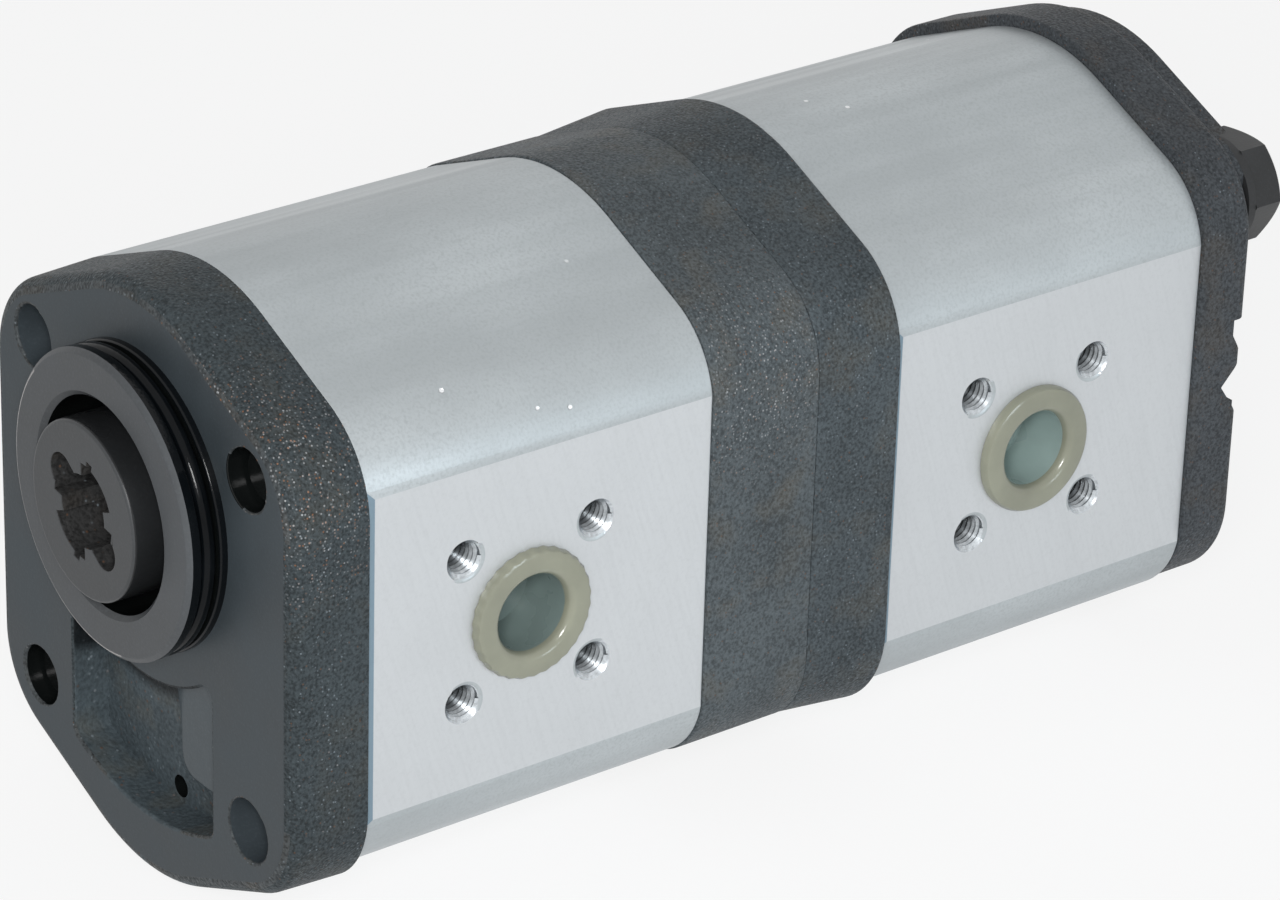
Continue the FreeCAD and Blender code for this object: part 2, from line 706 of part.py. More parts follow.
def tooth_gap(sketch, middle):
    """The space between two teeth: involute flanks in two arcs each and a rounded root."""
    degrees = "* 180 / pi"
    root_side = f"({ROOT_RADIUS} + root_round)"

    def roll(radius):
        return f"(sqrt(({radius}) ^ 2 - {BASE_RADIUS} ^ 2) / {BASE_RADIUS})"

    def half_gap(radius):
        involute = f"({roll(radius)} {degrees} - atan({roll(radius)}) / 1deg)"
        at_pitch = f"(tan(pressure_angle) {degrees} - pressure_angle)"
        thinning = f"(tooth_backlash / 4 / {PITCH_RADIUS} {degrees})"
        return f"(90 / tooth_count + {thinning} - {at_pitch} + {involute})"

    def flank_radius(low, high):
        spread = f"({half_gap(high)} - {half_gap(low)})"
        chord = f"sqrt(({low}) ^ 2 + ({high}) ^ 2 - 2 * ({low}) * ({high}) * cos({spread}))"
        return f"{chord} / (2 * sin(({roll(high)} - {roll(low)}) / 2 {degrees}))"

    at_base = half_gap(BASE_RADIUS)
    outside = f"({TIP_RADIUS} + cut_overrun)"
    heights = [(root_side, at_base), (BASE_RADIUS, at_base), (PITCH_RADIUS, half_gap(PITCH_RADIUS)),
               (TIP_RADIUS, half_gap(TIP_RADIUS)), (outside, half_gap(TIP_RADIUS))]
    low_flank = flank_radius(BASE_RADIUS, PITCH_RADIUS)
    high_flank = flank_radius(PITCH_RADIUS, TIP_RADIUS)
    rising = [None, Arc(low_flank), Arc(high_flank), None, None]
    falling = [None, Arc(high_flank), Arc(low_flank), None]
    half_chord = f"({root_side} * sin({at_base}))"
    root = Arc(f"(({half_chord} ^ 2 + root_round ^ 2) / (2 * root_round))")
    corners = []
    for (radius, spread), arc in zip(heights, rising):
        corners.append((*polar(radius, f"{middle} - {spread}"), arc))
    for (radius, spread), arc in zip(reversed(heights), falling + [root]):
        corners.append((*polar(radius, f"{middle} + {spread}"), arc))
    outline(sketch, corners)


def splines(body, name, at, length):
    """The grooves of a splined shaft end."""
    sketch = new_sketch(body, name, at)
    rectangle(sketch, "-spline_gap_width / 2", "spline_gap_width / 2",
              "spline_radius - spline_depth", "spline_radius + cut_overrun")
    groove = pocket(body, sketch, length)
    around(body, groove, "spline_count", grows=False)


def drive_shaft_gear():
    """The first stage's drive gear: a tang in front and a splined tail behind."""
    shoulder = f"({COUPLING_BACK} + shaft_gap / 2 - {FRONT_GEAR_AT})"
    half_tang = "(claw_slot_width / 2 - tang_clearance)"
    tang_radius = f"sqrt((claw_slot_reach - claw_slot_width / 2) ^ 2 + {half_tang} ^ 2)"
    journal_end = f"({CENTRE_FRONT_AT} + journal_end_gap - {FRONT_GEAR_AT})"
    tail_end = f"({journal_end} + spline_length)"
    body = gear("drive_shaft_gear", FRONT_GEAR_AT, "front_gear_width", [
        (f"{shoulder} - tang_length", "0"),
        (f"{shoulder} - tang_length", f"{tang_radius} - shaft_chamfer"),
        (f"{shoulder} - tang_length + shaft_chamfer", tang_radius),
        (shoulder, tang_radius),
        (shoulder, "journal_radius"),
        (journal_end, "journal_radius"),
        (journal_end, "spline_radius"),
        (f"{tail_end} - shaft_chamfer", "spline_radius"),
        (tail_end, "spline_radius - shaft_chamfer"),
        (tail_end, "0"),
    ], tooth_on_line=True)
    flats = new_sketch(body, "tang_flats", f"{shoulder} - tang_length")
    for side in (-1, 1):
        corners = []
        for along, away in ((-1, half_tang), (1, half_tang), (1, "2 * journal_radius"),
                            (-1, "2 * journal_radius")):
            place = aimed(f"{along} * 2 * journal_radius", f"{side} * {away}", "claw_slot_angle")
            corners.append((*place, None))
        outline(flats, corners)
    pocket(body, flats, "tang_length")
    splines(body, "tail_splines", journal_end, "spline_length")
    return body


def rear_drive_gear():
    """The second stage's drive gear, with its splined tail in front."""
    journal_start = f"({REAR_BODY_AT} - journal_end_gap - {REAR_GEAR_AT})"
    tail_start = f"({journal_start} - spline_length + stage_tail_gap)"
    journal_end = f"({REAR_COVER_AT} - journal_end_gap - {REAR_GEAR_AT})"
    body = gear("rear_drive_gear", REAR_GEAR_AT, "rear_gear_width", [
        (tail_start, "0"),
        (tail_start, "spline_radius - shaft_chamfer"),
        (f"{tail_start} + shaft_chamfer", "spline_radius"),
        (journal_start, "spline_radius"),
        (journal_start, "journal_radius"),
        (f"{journal_end} - shaft_chamfer", "journal_radius"),
        (journal_end, "journal_radius - shaft_chamfer"),
        (journal_end, "0"),
    ], tooth_on_line=True)
    splines(body, "rear_tail_splines", tail_start, "spline_length - stage_tail_gap")
    return body


def driven_gear(label, gear_at, body_at, length, width):
    """A driven gear with plain journals, on the lower shaft."""
    start = f"({body_at} + journal_end_gap - {gear_at})"
    end = f"({body_at} + {length} - journal_end_gap - {gear_at})"
    body = gear(label, gear_at, width, [
        (start, "0"),
        (start, "journal_radius - shaft_chamfer"),
        (f"{start} + shaft_chamfer", "journal_radius"),
        (f"{end} - shaft_chamfer", "journal_radius"),
        (end, "journal_radius - shaft_chamfer"),
        (end, "0"),
    ], tooth_on_line=False)
    bind(body, ".Placement.Base.z", "-gear_distance")
    return body


def drive_coupling():
    """The loose dog coupling: a ring whose profile takes the shaft's tang and the drive's."""
    length = f"(coupling_reach + {COUPLING_BACK})"
    body = new_body("drive_coupling", "-coupling_reach")
    ring = new_sketch(body, "coupling_ring")
    circle(ring, "0", "0", "coupling_radius")
    pad(body, ring, length)
    round_edges(body, "coupling_edges", "coupling_edge_radius",
                lambda p: near(p.x ** 2 + p.z ** 2, "coupling_radius ^ 2"))
    drill(body, "coupling_bore", [("0", "0")], "coupling_bore_radius", length)
    claw = new_sketch(body, "claw_slot")
    half = "(claw_slot_width / 2)"
    reach = "(claw_slot_reach - claw_slot_width / 2)"
    corners = []
    for end in (1, -1):
        for run, rise, arc in ((reach, f"-{half}", Arc(half)), ("claw_slot_reach", "0", Arc(half)),
                               (reach, half, None)):
            place = aimed(f"{end} * {run}", f"{end} * {rise}", "claw_slot_angle")
            corners.append((*place, arc))
    outline(claw, corners)
    pocket(body, claw, length)
    grooves = new_sketch(body, "drive_grooves")
    inner = "(coupling_bore_radius - cut_overrun)"
    for turn in ("0", "180"):
        outline(grooves, [
            (*polar(inner, f"drive_groove_start + {turn}"), None),
            (*polar("drive_groove_radius", f"drive_groove_start + {turn}"),
             Arc("drive_groove_radius")),
            (*polar("drive_groove_radius", f"drive_groove_end + {turn}"), None),
            (*polar(inner, f"drive_groove_end + {turn}"), Arc(inner, turn=-1)),
        ])
    pocket(body, grooves, length)
    for name, reach, angle in (("relief_notches", "relief_notch_reach", "relief_notch_angle"),
                               ("side_notches", "side_notch_reach", "side_notch_angle")):
        notches = new_sketch(body, name)
        for turn in ("0", "180"):
            corners = []
            for run, side in ((inner, -1), (reach, -1), (reach, 1), (inner, 1)):
                place = aimed(run, f"{side} * relief_notch_width / 2", f"{angle} + {turn}")
                corners.append((*place, None))
            outline(notches, corners)
        pocket(body, notches, length)
    return body


def stage_coupling():
    """The sleeve that turns the second stage's drive gear, splined inside."""
    start = f"({CENTRE_FRONT_AT} + journal_end_gap + sleeve_end_gap)"
    end = f"({REAR_BODY_AT} - journal_end_gap - sleeve_end_gap)"
    length = f"({end} - {start})"
    body = new_body("stage_coupling", start)
    ring = new_sketch(body, "sleeve_ring")
    bore = "(spline_radius + spline_clearance)"
    circle(ring, "0", "0", f"{bore} + sleeve_wall")
    circle(ring, "0", "0", bore)
    pad(body, ring, length)
    rib = new_sketch(body, "sleeve_spline")
    half = "(spline_gap_width / 2 - spline_clearance)"
    rectangle(rib, f"-{half}", half, "spline_radius - spline_depth + spline_clearance",
              "spline_radius + sleeve_wall / 2")
    tooth = pad(body, rib, length)
    around(body, tooth, "spline_count", grows=True)
    return body


def bearing_block(label, at, faces_front):
    """A figure-eight bearing block: bush bores, a seal groove outside and reliefs inside."""
    body = new_body(label, at)
    base = new_sketch(body, f"{label}_outline")
    figure_eight(base, BLOCK_RADIUS)
    pad(body, base, "block_length")
    shafts = [("0", "0"), ("0", "-gear_distance")]
    drill(body, f"{label}_bores", shafts, BUSH_RADIUS, "block_length")
    outer_face = "0" if faces_front else f"(block_length - {SEAL_GROOVE_DEPTH})"
    groove = new_sketch(body, f"{label}_seal_groove", outer_face)
    seal_band(groove, "0")
    pocket(body, groove, SEAL_GROOVE_DEPTH)
    inner_face = "(block_length - relief_depth)" if faces_front else "0"
    reliefs = new_sketch(body, f"{label}_reliefs", inner_face)
    for side in (-1, 1):
        inner = f"({PITCH_RADIUS} - {BUSH_RADIUS}) * {side}"
        rectangle(reliefs, inner, f"{side} * {BLOCK_RADIUS}",
                  "-gear_distance / 2 - relief_width / 2", "-gear_distance / 2 + relief_width / 2")
    pocket(body, reliefs, "relief_depth")
    return body


def seal_band(sketch, inset):
    """The outline of the seal round the pressure side of both shafts, shaped like a 3."""
    outer = f"(axial_band_radius + axial_band_width / 2 - {inset})"
    inner = f"(axial_band_radius - axial_band_width / 2 + {inset})"
    start = f"(axial_band_start - {inset})"
    middle = "-gear_distance / 2"
    meeting = f"sqrt({outer} ^ 2 - (gear_distance / 2) ^ 2)"
    below = f"sqrt({inner} ^ 2 - ({inset}) ^ 2)"
    upper_out, upper_in = polar(outer, start), polar(inner, start)
    outline(sketch, [
        (*upper_in, None),
        (*upper_out, Arc(outer, turn=-1)),
        (meeting, middle, Arc(outer, turn=-1)),
        (upper_out[0], f"-gear_distance - ({upper_out[1]})", None),
        (upper_in[0], f"-gear_distance - ({upper_in[1]})", Arc(inner)),
        (inset, f"-gear_distance + {below}", None),
        (inset, f"-{below}", Arc(inner)),
    ])


def seal_pieces(label, thickness, levels):
    """Identical flat seals at several levels, as separate solids of one node."""
    pieces = []
    for number, level in enumerate(levels, start=1):
        body = new_body(f"{label}_{number}", level)
        sketch = new_sketch(body, f"{label}_{number}_band")
        seal_band(sketch, "seal_gap")
        pad(body, sketch, thickness)
        pieces.append(body)
    return group(label, pieces)


def group(label, pieces):
    """One node made of several separate solids."""
    node = doc.addObject("Part::Compound", label)
    node.Label = label
    node.Links = pieces
    doc.recompute()
    return node


def bushes(label, levels):
    """The bushes of one stage, pressed into both blocks on both shafts."""
    pieces = []
    length = "(block_length - 2 * bush_setback)"
    for number, level in enumerate(levels, start=1):
        for name, drop in (("drive", "0"), ("driven", "-gear_distance")):
            body = new_body(f"{label}_{name}_{number}", f"({level} + bush_setback)")
            bind(body, ".Placement.Base.z", drop)
            sketch = new_sketch(body, f"{label}_{name}_{number}_ring")
            circle(sketch, "0", "0", f"{BUSH_RADIUS} - bush_fit")
            circle(sketch, "0", "0", "journal_radius + journal_clearance")
            pad(body, sketch, length)
            pieces.append(body)
    return group(label, pieces)


def section_seals(label, levels):
    """Racetrack seals in the end grooves of one body, each a swept round cord."""
    pieces = []
    for number, level in enumerate(levels, start=1):
        body = new_body(f"{label}_{number}", level)
        path = new_sketch(body, f"{label}_{number}_path")
        racetrack(path, "section_seal_radius")
        profile = new_sketch(body, f"{label}_{number}_cord", "0", "XY_Plane")
        circle(profile, "section_seal_radius", "0", "section_seal_thickness / 2 - seal_gap")
        pipe = body.newObject("PartDesign::AdditivePipe", f"{label}_{number}_sweep")
        pipe.Profile = profile
        pipe.Spine = (path, [f"Edge{edge}" for edge in range(1, 5)])
        finish(body, pipe, grows=True)
        pieces.append(body)
    return group(label, pieces)


def ring_node(label, start, outer, inner, length):
    """A plain ring on the drive axis."""
    body = new_body(label, start)
    sketch = new_sketch(body, f"{label}_ring")
    circle(sketch, "0", "0", outer)
    circle(sketch, "0", "0", inner)
    pad(body, sketch, length)
    return body


def pilot_o_ring():
    """The O-ring in the spigot's groove."""
    middle = "(-ring_groove_near - ring_groove_width / 2)"
    ring = doc.addObject("Part::Torus", "pilot_o_ring")
    ring.Label = "pilot_o_ring"
    bind(ring, "Radius1", "pilot_radius - ring_inset - ring_thickness / 2")
    bind(ring, "Radius2", "ring_thickness / 2")
    ring.Placement.Rotation = FreeCAD.Rotation(FreeCAD.Vector(1, 0, 0), 90)
    bind(ring, ".Placement.Base.y", middle)
    return ring


def shaft_seal():
    """The rotary seal: an L-shaped case and a lip that runs on the journal."""
    front = f"({SEAL_BORE_FLOOR} - shaft_seal_thickness)"
    back = f"({SEAL_BORE_FLOOR} - shaft_seal_fit)"
    case = "(seal_bore_radius - shaft_seal_fit)"
    inside = "(seal_bore_radius - shaft_seal_wall)"
    lip = "(journal_radius + shaft_seal_lip)"
    body = new_body("shaft_seal")
    turned(body, "seal_section", [
        (front, "seal_bore_radius - shaft_seal_chamfer"),
        (f"{front} + shaft_seal_chamfer", case),
        (back, case),
        (back, inside),
        (f"{front} + shaft_seal_wall", inside),
        (f"{front} + shaft_seal_wall", f"{lip} + shaft_seal_wall"),
        (f"{front} + 3 * shaft_seal_wall", f"{lip} + shaft_seal_wall"),
        (f"{front} + shaft_lip_at + shaft_lip_width", lip),
        (f"{front} + shaft_lip_at", lip),
        (front, f"{lip} + shaft_seal_wall"),
    ])
    return body


def seal_retaining_ring():
    """The internal circlip in front of the shaft seal, open at the bottom."""
    groove_back = f"({SEAL_BORE_FLOOR} - shaft_seal_thickness - 2 * seal_gap)"
    start = f"({groove_back} - retaining_ring_thickness - seal_gap)"
    body = ring_node("seal_retaining_ring", start,
                     "seal_bore_radius + retaining_groove_depth - seal_gap",
                     "seal_bore_radius - retaining_ring_width", "retaining_ring_thickness")
    opening = new_sketch(body, "circlip_gap")
    rectangle(opening, "-retaining_ring_opening / 2", "retaining_ring_opening / 2",
              "-pilot_bore_radius", "-journal_radius")
    pocket(body, opening, "retaining_ring_thickness")
    return body


def port_cap(label, body_at, side, bore):
    """A plastic plug: a cup in the port and a rim on the port face."""
    body = new_body(label, f"({body_at} + port_setback)")
    bind(body, ".Placement.Base.z", "-gear_distance / 2")
    wall = f"({bore} - cap_gap)"
    inside = f"({wall} - cap_wall)"
    rim = f"({bore} + cap_rim_width)"
    face = "(half_width - port_face_cut + seal_gap)"
    profile = new_sketch(body, f"{label}_profile", "0", "XY_Plane")
    corners = [
        (f"{face} - cap_depth", "0", None),
        (f"{face} - cap_depth", f"{wall} - cap_chamfer", None),
        (f"{face} - cap_depth + cap_chamfer", wall, None),
        (face, wall, None),
        (face, rim, None),
        (f"{face} + cap_rim_thickness / 2", rim, None),
        (f"{face} + cap_rim_thickness", f"{rim} - cap_rim_thickness / 2", None),
        (f"{face} + cap_rim_thickness", f"{inside} + cap_rim_slope", None),
        (f"{face} + cap_rim_thickness - cap_rim_slope", inside, None),
        (f"{face} - cap_depth + cap_wall", f"{inside} - cap_draft", None),
        (f"{face} - cap_depth + cap_wall", "0", None),
    ]
    outline(profile, [(f"{side} * ({x})", r, arc) for x, r, arc in corners])
    cap = body.newObject("PartDesign::Revolution", f"{label}_turned")
    cap.Profile = profile
    cap.ReferenceAxis = (profile, ["H_Axis"])
    cap.Angle = 360
    finish(body, cap, grows=True)
    return body


def tie_bolts():
    """Two hexagon head bolts from the rear cover to the threads in the front cover."""
    pieces = []
    head_at = f"({BOLT_SEAT} + washer_thickness)"
    head_end = f"({head_at} + bolt_head_height)"
    corner = "(bolt_head_flats / sqrt(3))"
    face = "(bolt_head_flats / 2 - bolt_face_inset)"
    outside = f"({corner} + cut_overrun)"
    slope = f"(({outside} - {face}) * tan(bolt_head_slope))"
    for number, (across, up) in enumerate(TIE_BOLTS, start=1):
        name = f"tie_bolt_{number}"
        body = new_body(name)
        bind(body, ".Placement.Base.x", across)
        bind(body, ".Placement.Base.z", up)
        turned(body, f"{name}_shank", [
            ("bolt_end_depth", "0"),
            ("bolt_end_depth", "bolt_radius - bolt_chamfer"),
            ("bolt_end_depth + bolt_chamfer", "bolt_radius"),
            (head_at, "bolt_radius"),
            (head_at, "0"),
        ])
        head = new_sketch(body, f"{name}_head", head_at)
        outline(head, [(*polar(corner, str(60 * turn)), None) for turn in range(6)])
        pad(body, head, "bolt_head_height")
        turned(body, f"{name}_corners", [(head_end, face), (head_end, outside),
                                         (f"{head_end} - {slope}", outside)], adds=False)
        pieces.append(body)
    return group("tie_bolts", pieces)


def washers():
    """A washer under each bolt head."""
    pieces = []
    for number, (across, up) in enumerate(TIE_BOLTS, start=1):
        body = new_body(f"washer_{number}", BOLT_SEAT)
        sketch = new_sketch(body, f"washer_{number}_ring")
        circle(sketch, across, up, "washer_radius")
        circle(sketch, across, up, "bolt_radius + bolt_hole_clearance")
        pad(body, sketch, "washer_thickness")
        pieces.append(body)
    return group("tie_bolt_washers", pieces)


def dowel_pins():
    """Two dowels across every joint between neighbouring sections."""
    pieces = []
    joints = [FRONT_BODY_AT, CENTRE_FRONT_AT, CENTRE_REAR_AT, REAR_BODY_AT, REAR_COVER_AT]
    for number, joint in enumerate(joints, start=1):
        for place, (across, up) in zip(("upper", "lower"), DOWELS):
            pin = doc.addObject("Part::Cylinder", f"dowel_{place}_{number}")
            bind(pin, "Radius", "dowel_radius")
            bind(pin, "Height", "dowel_length")
            pin.Placement.Rotation = FreeCAD.Rotation(FreeCAD.Vector(1, 0, 0), -90)
            bind(pin, ".Placement.Base.x", across)
            bind(pin, ".Placement.Base.y", f"{joint} - dowel_length / 2")
            bind(pin, ".Placement.Base.z", up)
            pieces.append(pin)
    return group("dowel_pins", pieces)


def stage(name, body_at, gear_at, width, length):
    """One pump stage: its body, blocks, bushes, seals, driven gear and port caps."""
    second_block = f"({body_at} + {length} - block_length)"
    second_seal = f"({body_at} + {length} - axial_seal_thickness)"
    second_backup = f"({second_seal} - backup_ring_thickness)"
    cord = "(section_seal_thickness / 2)"
    return [
        gear_body(f"{name}_body", body_at, length),
        bearing_block(f"{name}_fore_block", body_at, faces_front=True),
        bearing_block(f"{name}_aft_block", second_block, faces_front=False),
        bushes(f"{name}_bushes", [body_at, second_block]),
        seal_pieces(f"{name}_axial_seals", "axial_seal_thickness", [body_at, second_seal]),
        seal_pieces(f"{name}_backup_rings", "backup_ring_thickness",
                    [f"({body_at} + axial_seal_thickness)", second_backup]),
        section_seals(f"{name}_section_seals",
                      [f"({body_at} + {cord})", f"({body_at} + {length} - {cord})"]),
        driven_gear(f"{name}_driven_gear", gear_at, body_at, length, width),
        port_cap(f"{name}_pressure_cap", body_at, 1, "pressure_port_radius"),
        port_cap(f"{name}_suction_cap", body_at, -1, "suction_port_radius"),
    ]


nodes = [
    front_cover(),
    pilot_o_ring(),
    shaft_seal(),
    seal_retaining_ring(),
    drive_coupling(),
    drive_shaft_gear(),
    *stage("front", FRONT_BODY_AT, FRONT_GEAR_AT, "front_gear_width", FRONT_BODY_LENGTH),
    centre_housing("centre_housing_front", CENTRE_FRONT_AT, "centre_front_thickness",
                   "centre_front_growth"),
    centre_housing("centre_housing_rear", CENTRE_REAR_AT, "centre_rear_thickness",
                   "centre_rear_growth", draft="centre_rear_draft"),
    stage_coupling(),
    rear_drive_gear(),
    *stage("rear", REAR_BODY_AT, REAR_GEAR_AT, "rear_gear_width", REAR_BODY_LENGTH),
    rear_cover(),
    tie_bolts(),
    washers(),
    dowel_pins(),
]

doc.recompute()
for item in doc.Objects:
    if "Invalid" in item.State or "Error" in item.State:
        raise ValueError(f"{item.Label} failed to compute")
for node in nodes:
    if node.Shape.isNull() or not node.Shape.isValid():
        raise ValueError(f"{node.Label} has no sound shape")

os.makedirs("parts", exist_ok=True)
for node in nodes:
    node.Shape.exportStep(f"parts/{node.Label}.step")
    print(node.Label, len(node.Shape.Solids), round(node.Shape.Volume, 1))
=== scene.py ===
import math

import bmesh
import bpy
from mathutils import Matrix, Vector


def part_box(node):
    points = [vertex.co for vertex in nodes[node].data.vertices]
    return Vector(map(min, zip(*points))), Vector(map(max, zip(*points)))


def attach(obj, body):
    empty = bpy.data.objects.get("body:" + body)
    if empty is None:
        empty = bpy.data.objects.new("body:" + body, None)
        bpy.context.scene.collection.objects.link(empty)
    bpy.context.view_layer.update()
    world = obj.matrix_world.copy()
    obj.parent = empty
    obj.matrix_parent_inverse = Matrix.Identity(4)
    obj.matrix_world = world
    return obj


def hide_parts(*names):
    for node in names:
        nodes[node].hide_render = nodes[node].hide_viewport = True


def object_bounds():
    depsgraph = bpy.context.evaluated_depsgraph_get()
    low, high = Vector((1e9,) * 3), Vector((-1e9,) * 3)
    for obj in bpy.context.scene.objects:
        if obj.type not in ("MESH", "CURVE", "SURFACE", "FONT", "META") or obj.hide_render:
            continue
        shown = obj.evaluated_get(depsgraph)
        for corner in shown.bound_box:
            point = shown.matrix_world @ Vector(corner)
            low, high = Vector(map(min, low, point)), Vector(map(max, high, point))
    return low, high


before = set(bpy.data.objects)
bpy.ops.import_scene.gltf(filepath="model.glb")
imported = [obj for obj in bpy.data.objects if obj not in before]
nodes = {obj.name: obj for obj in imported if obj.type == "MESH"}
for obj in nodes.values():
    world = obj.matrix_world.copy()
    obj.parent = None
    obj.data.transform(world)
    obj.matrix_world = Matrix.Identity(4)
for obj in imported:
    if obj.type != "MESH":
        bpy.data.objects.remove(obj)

cad_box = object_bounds()

# Camera
# The pump is seen through a long lens from its pressure side, a little from above, with the
# mounting face turned to the left.
camera_azimuth = 52.0
camera_height = 26.33
camera_roll = 1.79
camera_distance = 0.8978
camera_aim = Vector((-0.00035, 0.09754, -0.01949))
camera_lens = 153.3
camera_sensor_width = 36.0
camera_nearest = 0.05
camera_farthest = 50.0


def aimed(azimuth, height, distance):
    """The place of what looks at the pump from a distance, an azimuth and a height in degrees."""
    turn = math.radians(azimuth)
    lift = math.radians(height)
    back = Vector((
        math.cos(lift) * math.sin(turn),
        -math.cos(lift) * math.cos(turn),
        math.sin(lift),
    ))
    return (
        Matrix.Translation(camera_aim + back * distance)
        @ back.to_track_quat("Z", "Y").to_matrix().to_4x4()
    )


def add_to_scene(name, data):
    """A new object of the scene."""
    thing = bpy.data.objects.new(name, data)
    bpy.context.scene.collection.objects.link(thing)
    return thing


camera_data = bpy.data.cameras.new("camera")
camera_data.sensor_width = camera_sensor_width
camera_data.lens = camera_lens
camera_data.clip_start = camera_nearest
camera_data.clip_end = camera_farthest
camera = add_to_scene("camera", camera_data)
camera.matrix_world = (
    aimed(camera_azimuth, camera_height, camera_distance)
    @ Matrix.Rotation(math.radians(camera_roll), 4, "Z")
)
bpy.context.scene.camera = camera
bpy.context.scene.view_settings.view_transform = "Standard"

# Studio
# A white table in a white room, with a soft lamp beside the camera and a weaker, cooler one to
# the right.
room_light = 0.29
table_colour = (0.86, 0.87, 0.88)
table_roughness = 0.9
table_glow_share = 0.85
table_half_width = 6.0
table_middle = 0.1
table_gap = 0.0002


def calculated(tree, operation, *numbers):
    """What a math node makes of some numbers, each another node's output or a plain value."""
    node = tree.nodes.new("ShaderNodeMath")
    node.operation = operation
    for socket, number in zip(node.inputs, numbers):
        if isinstance(number, float):
            socket.default_value = number
        else:
            tree.links.new(number, socket)
    return node.outputs[0]


def ranged(tree, factor, low, high, out_low, out_high):
    """A number that goes from out_low to out_high as the factor goes from low to high."""
    node = tree.nodes.new("ShaderNodeMapRange")
    for name, number in (("From Min", low), ("From Max", high),
                         ("To Min", out_low), ("To Max", out_high)):
        node.inputs[name].default_value = number
    tree.links.new(factor, node.inputs["Value"])
    return node.outputs["Result"]


def background_rays(tree):
    """1 for what the camera, a gloss or a clear piece sees, 0 for the light on the pump."""
    path = tree.nodes.new("ShaderNodeLightPath")
    seen = path.outputs["Is Camera Ray"]
    for kind in ("Is Glossy Ray", "Is Transmission Ray"):
        seen = calculated(tree, "MAXIMUM", seen, path.outputs[kind])
    return seen


def hang_lamp(name, azimuth, height, distance, size, power, colour=(1.0, 1.0, 1.0)):
    """A square soft lamp that looks at the pump from an azimuth and a height in degrees."""
    data = bpy.data.lights.new(name, "AREA")
    data.shape = "SQUARE"
    data.size = size
    data.energy = power
    data.color = colour
    lamp = add_to_scene(name, data)
    lamp.matrix_world = aimed(azimuth, height, distance)


room = bpy.data.worlds.new("white_room")
room.use_nodes = True
bpy.context.scene.world = room
room_tree = room.node_tree
room_sky = room_tree.nodes["Background"]
room_sky.inputs["Color"].default_value = (1.0, 1.0, 1.0, 1.0)
room_strength = ranged(room_tree, background_rays(room_tree), 0.0, 1.0, room_light, 1.0)
room_tree.links.new(room_strength, room_sky.inputs["Strength"])

table_bm = bmesh.new()
bmesh.ops.create_grid(table_bm, x_segments=1, y_segments=1, size=table_half_width)
bmesh.ops.translate(table_bm, verts=table_bm.verts,
                    vec=(0.0, table_middle, cad_box[0].z - table_gap))
table_mesh = bpy.data.meshes.new("table_top")
table_bm.to_mesh(table_mesh)
table_bm.free()
table_top = add_to_scene("table_top", table_mesh)
table_white = bpy.data.materials.new("table_white")
table_white.use_nodes = True
table_tree = table_white.node_tree
table_paint = table_tree.nodes["Principled BSDF"]
table_paint.inputs["Base Color"].default_value = (*table_colour, 1.0)
table_paint.inputs["Roughness"].default_value = table_roughness
table_glow = table_tree.nodes.new("ShaderNodeEmission")
table_seen = calculated(table_tree, "MULTIPLY", background_rays(table_tree), table_glow_share)
table_mix = table_tree.nodes.new("ShaderNodeMixShader")
table_tree.links.new(table_seen, table_mix.inputs["Fac"])
table_tree.links.new(table_paint.outputs["BSDF"], table_mix.inputs[1])
table_tree.links.new(table_glow.outputs["Emission"], table_mix.inputs[2])
table_tree.links.new(table_mix.outputs["Shader"],
                     table_tree.nodes["Material Output"].inputs["Surface"])
table_mesh.materials.append(table_white)

hang_lamp("lamp_beside_camera", azimuth=50.0, height=27.0, distance=0.9, size=0.2, power=5.6)
hang_lamp("lamp_at_the_right", azimuth=104.0, height=8.0, distance=1.2, size=0.3, power=2.1,
          colour=(0.78, 0.91, 1.0))

# Front cover
# The end that bolts to the drive, a grey iron casting blackened all over. Its mounting face,
# spigot and bores are machined. Its sides and the pocket below the spigot are as they came out
# of the sand.
outline_middle = -0.015
bolt_reach = 0.030
bolt_hole_reach = 0.0056
margin = 0.0001
weld_gap = 2e-6
flat_within = math.radians(0.5)
crease_angle = math.radians(32.0)
square_on = 0.99

cover_middle = -0.0158
cover_flat_side = 0.040
cover_flat_end = 0.0495
cover_arc_rise = 0.015
cover_arc_reach = 0.0345
cover_edge_depth = 0.00052
cover_edge_reach = 0.031
cover_edge_spread = 0.05
cover_break = 0.0005
bolt_hole_break = 0.0003

spigot_front = -0.007
spigot_face_start = -0.0061
spigot_reach = 0.0255
spigot_edge_reach = 0.0235
spigot_side_reach = 0.02
spigot_bore_reach = 0.0185
spigot_reflection_right = 0.006
spigot_reflection_top = 0.016
spigot_break = 0.0002
groove_front = -0.0046
groove_back = -0.0004
groove_edge_reach = 0.0249
groove_break = 0.0004

pocket_half_width = 0.020
pocket_edge_reach = 0.0203
pocket_top = -0.0225
pocket_bottom = -0.0565
pocket_depth = 0.0065
pocket_zone_top = -0.02
pocket_hole_start = 0.0067
pocket_hole_end = 0.0098
tongue_left = 0.0066
tongue_end = -0.0465
tongue_level = 0.0031
tongue_corner = 0.004
tongue_corner_steps = 8
tongue_break = 0.0006

rust_brown = (0.13, 0.065, 0.035)
painted_glint_blue = (0.24, 0.28, 0.31)
painted_glint_iron = (0.42, 0.43, 0.44)
fresh_rust = (0.30, 0.13, 0.055)
painted_shadow_black = (0.004, 0.005, 0.006)


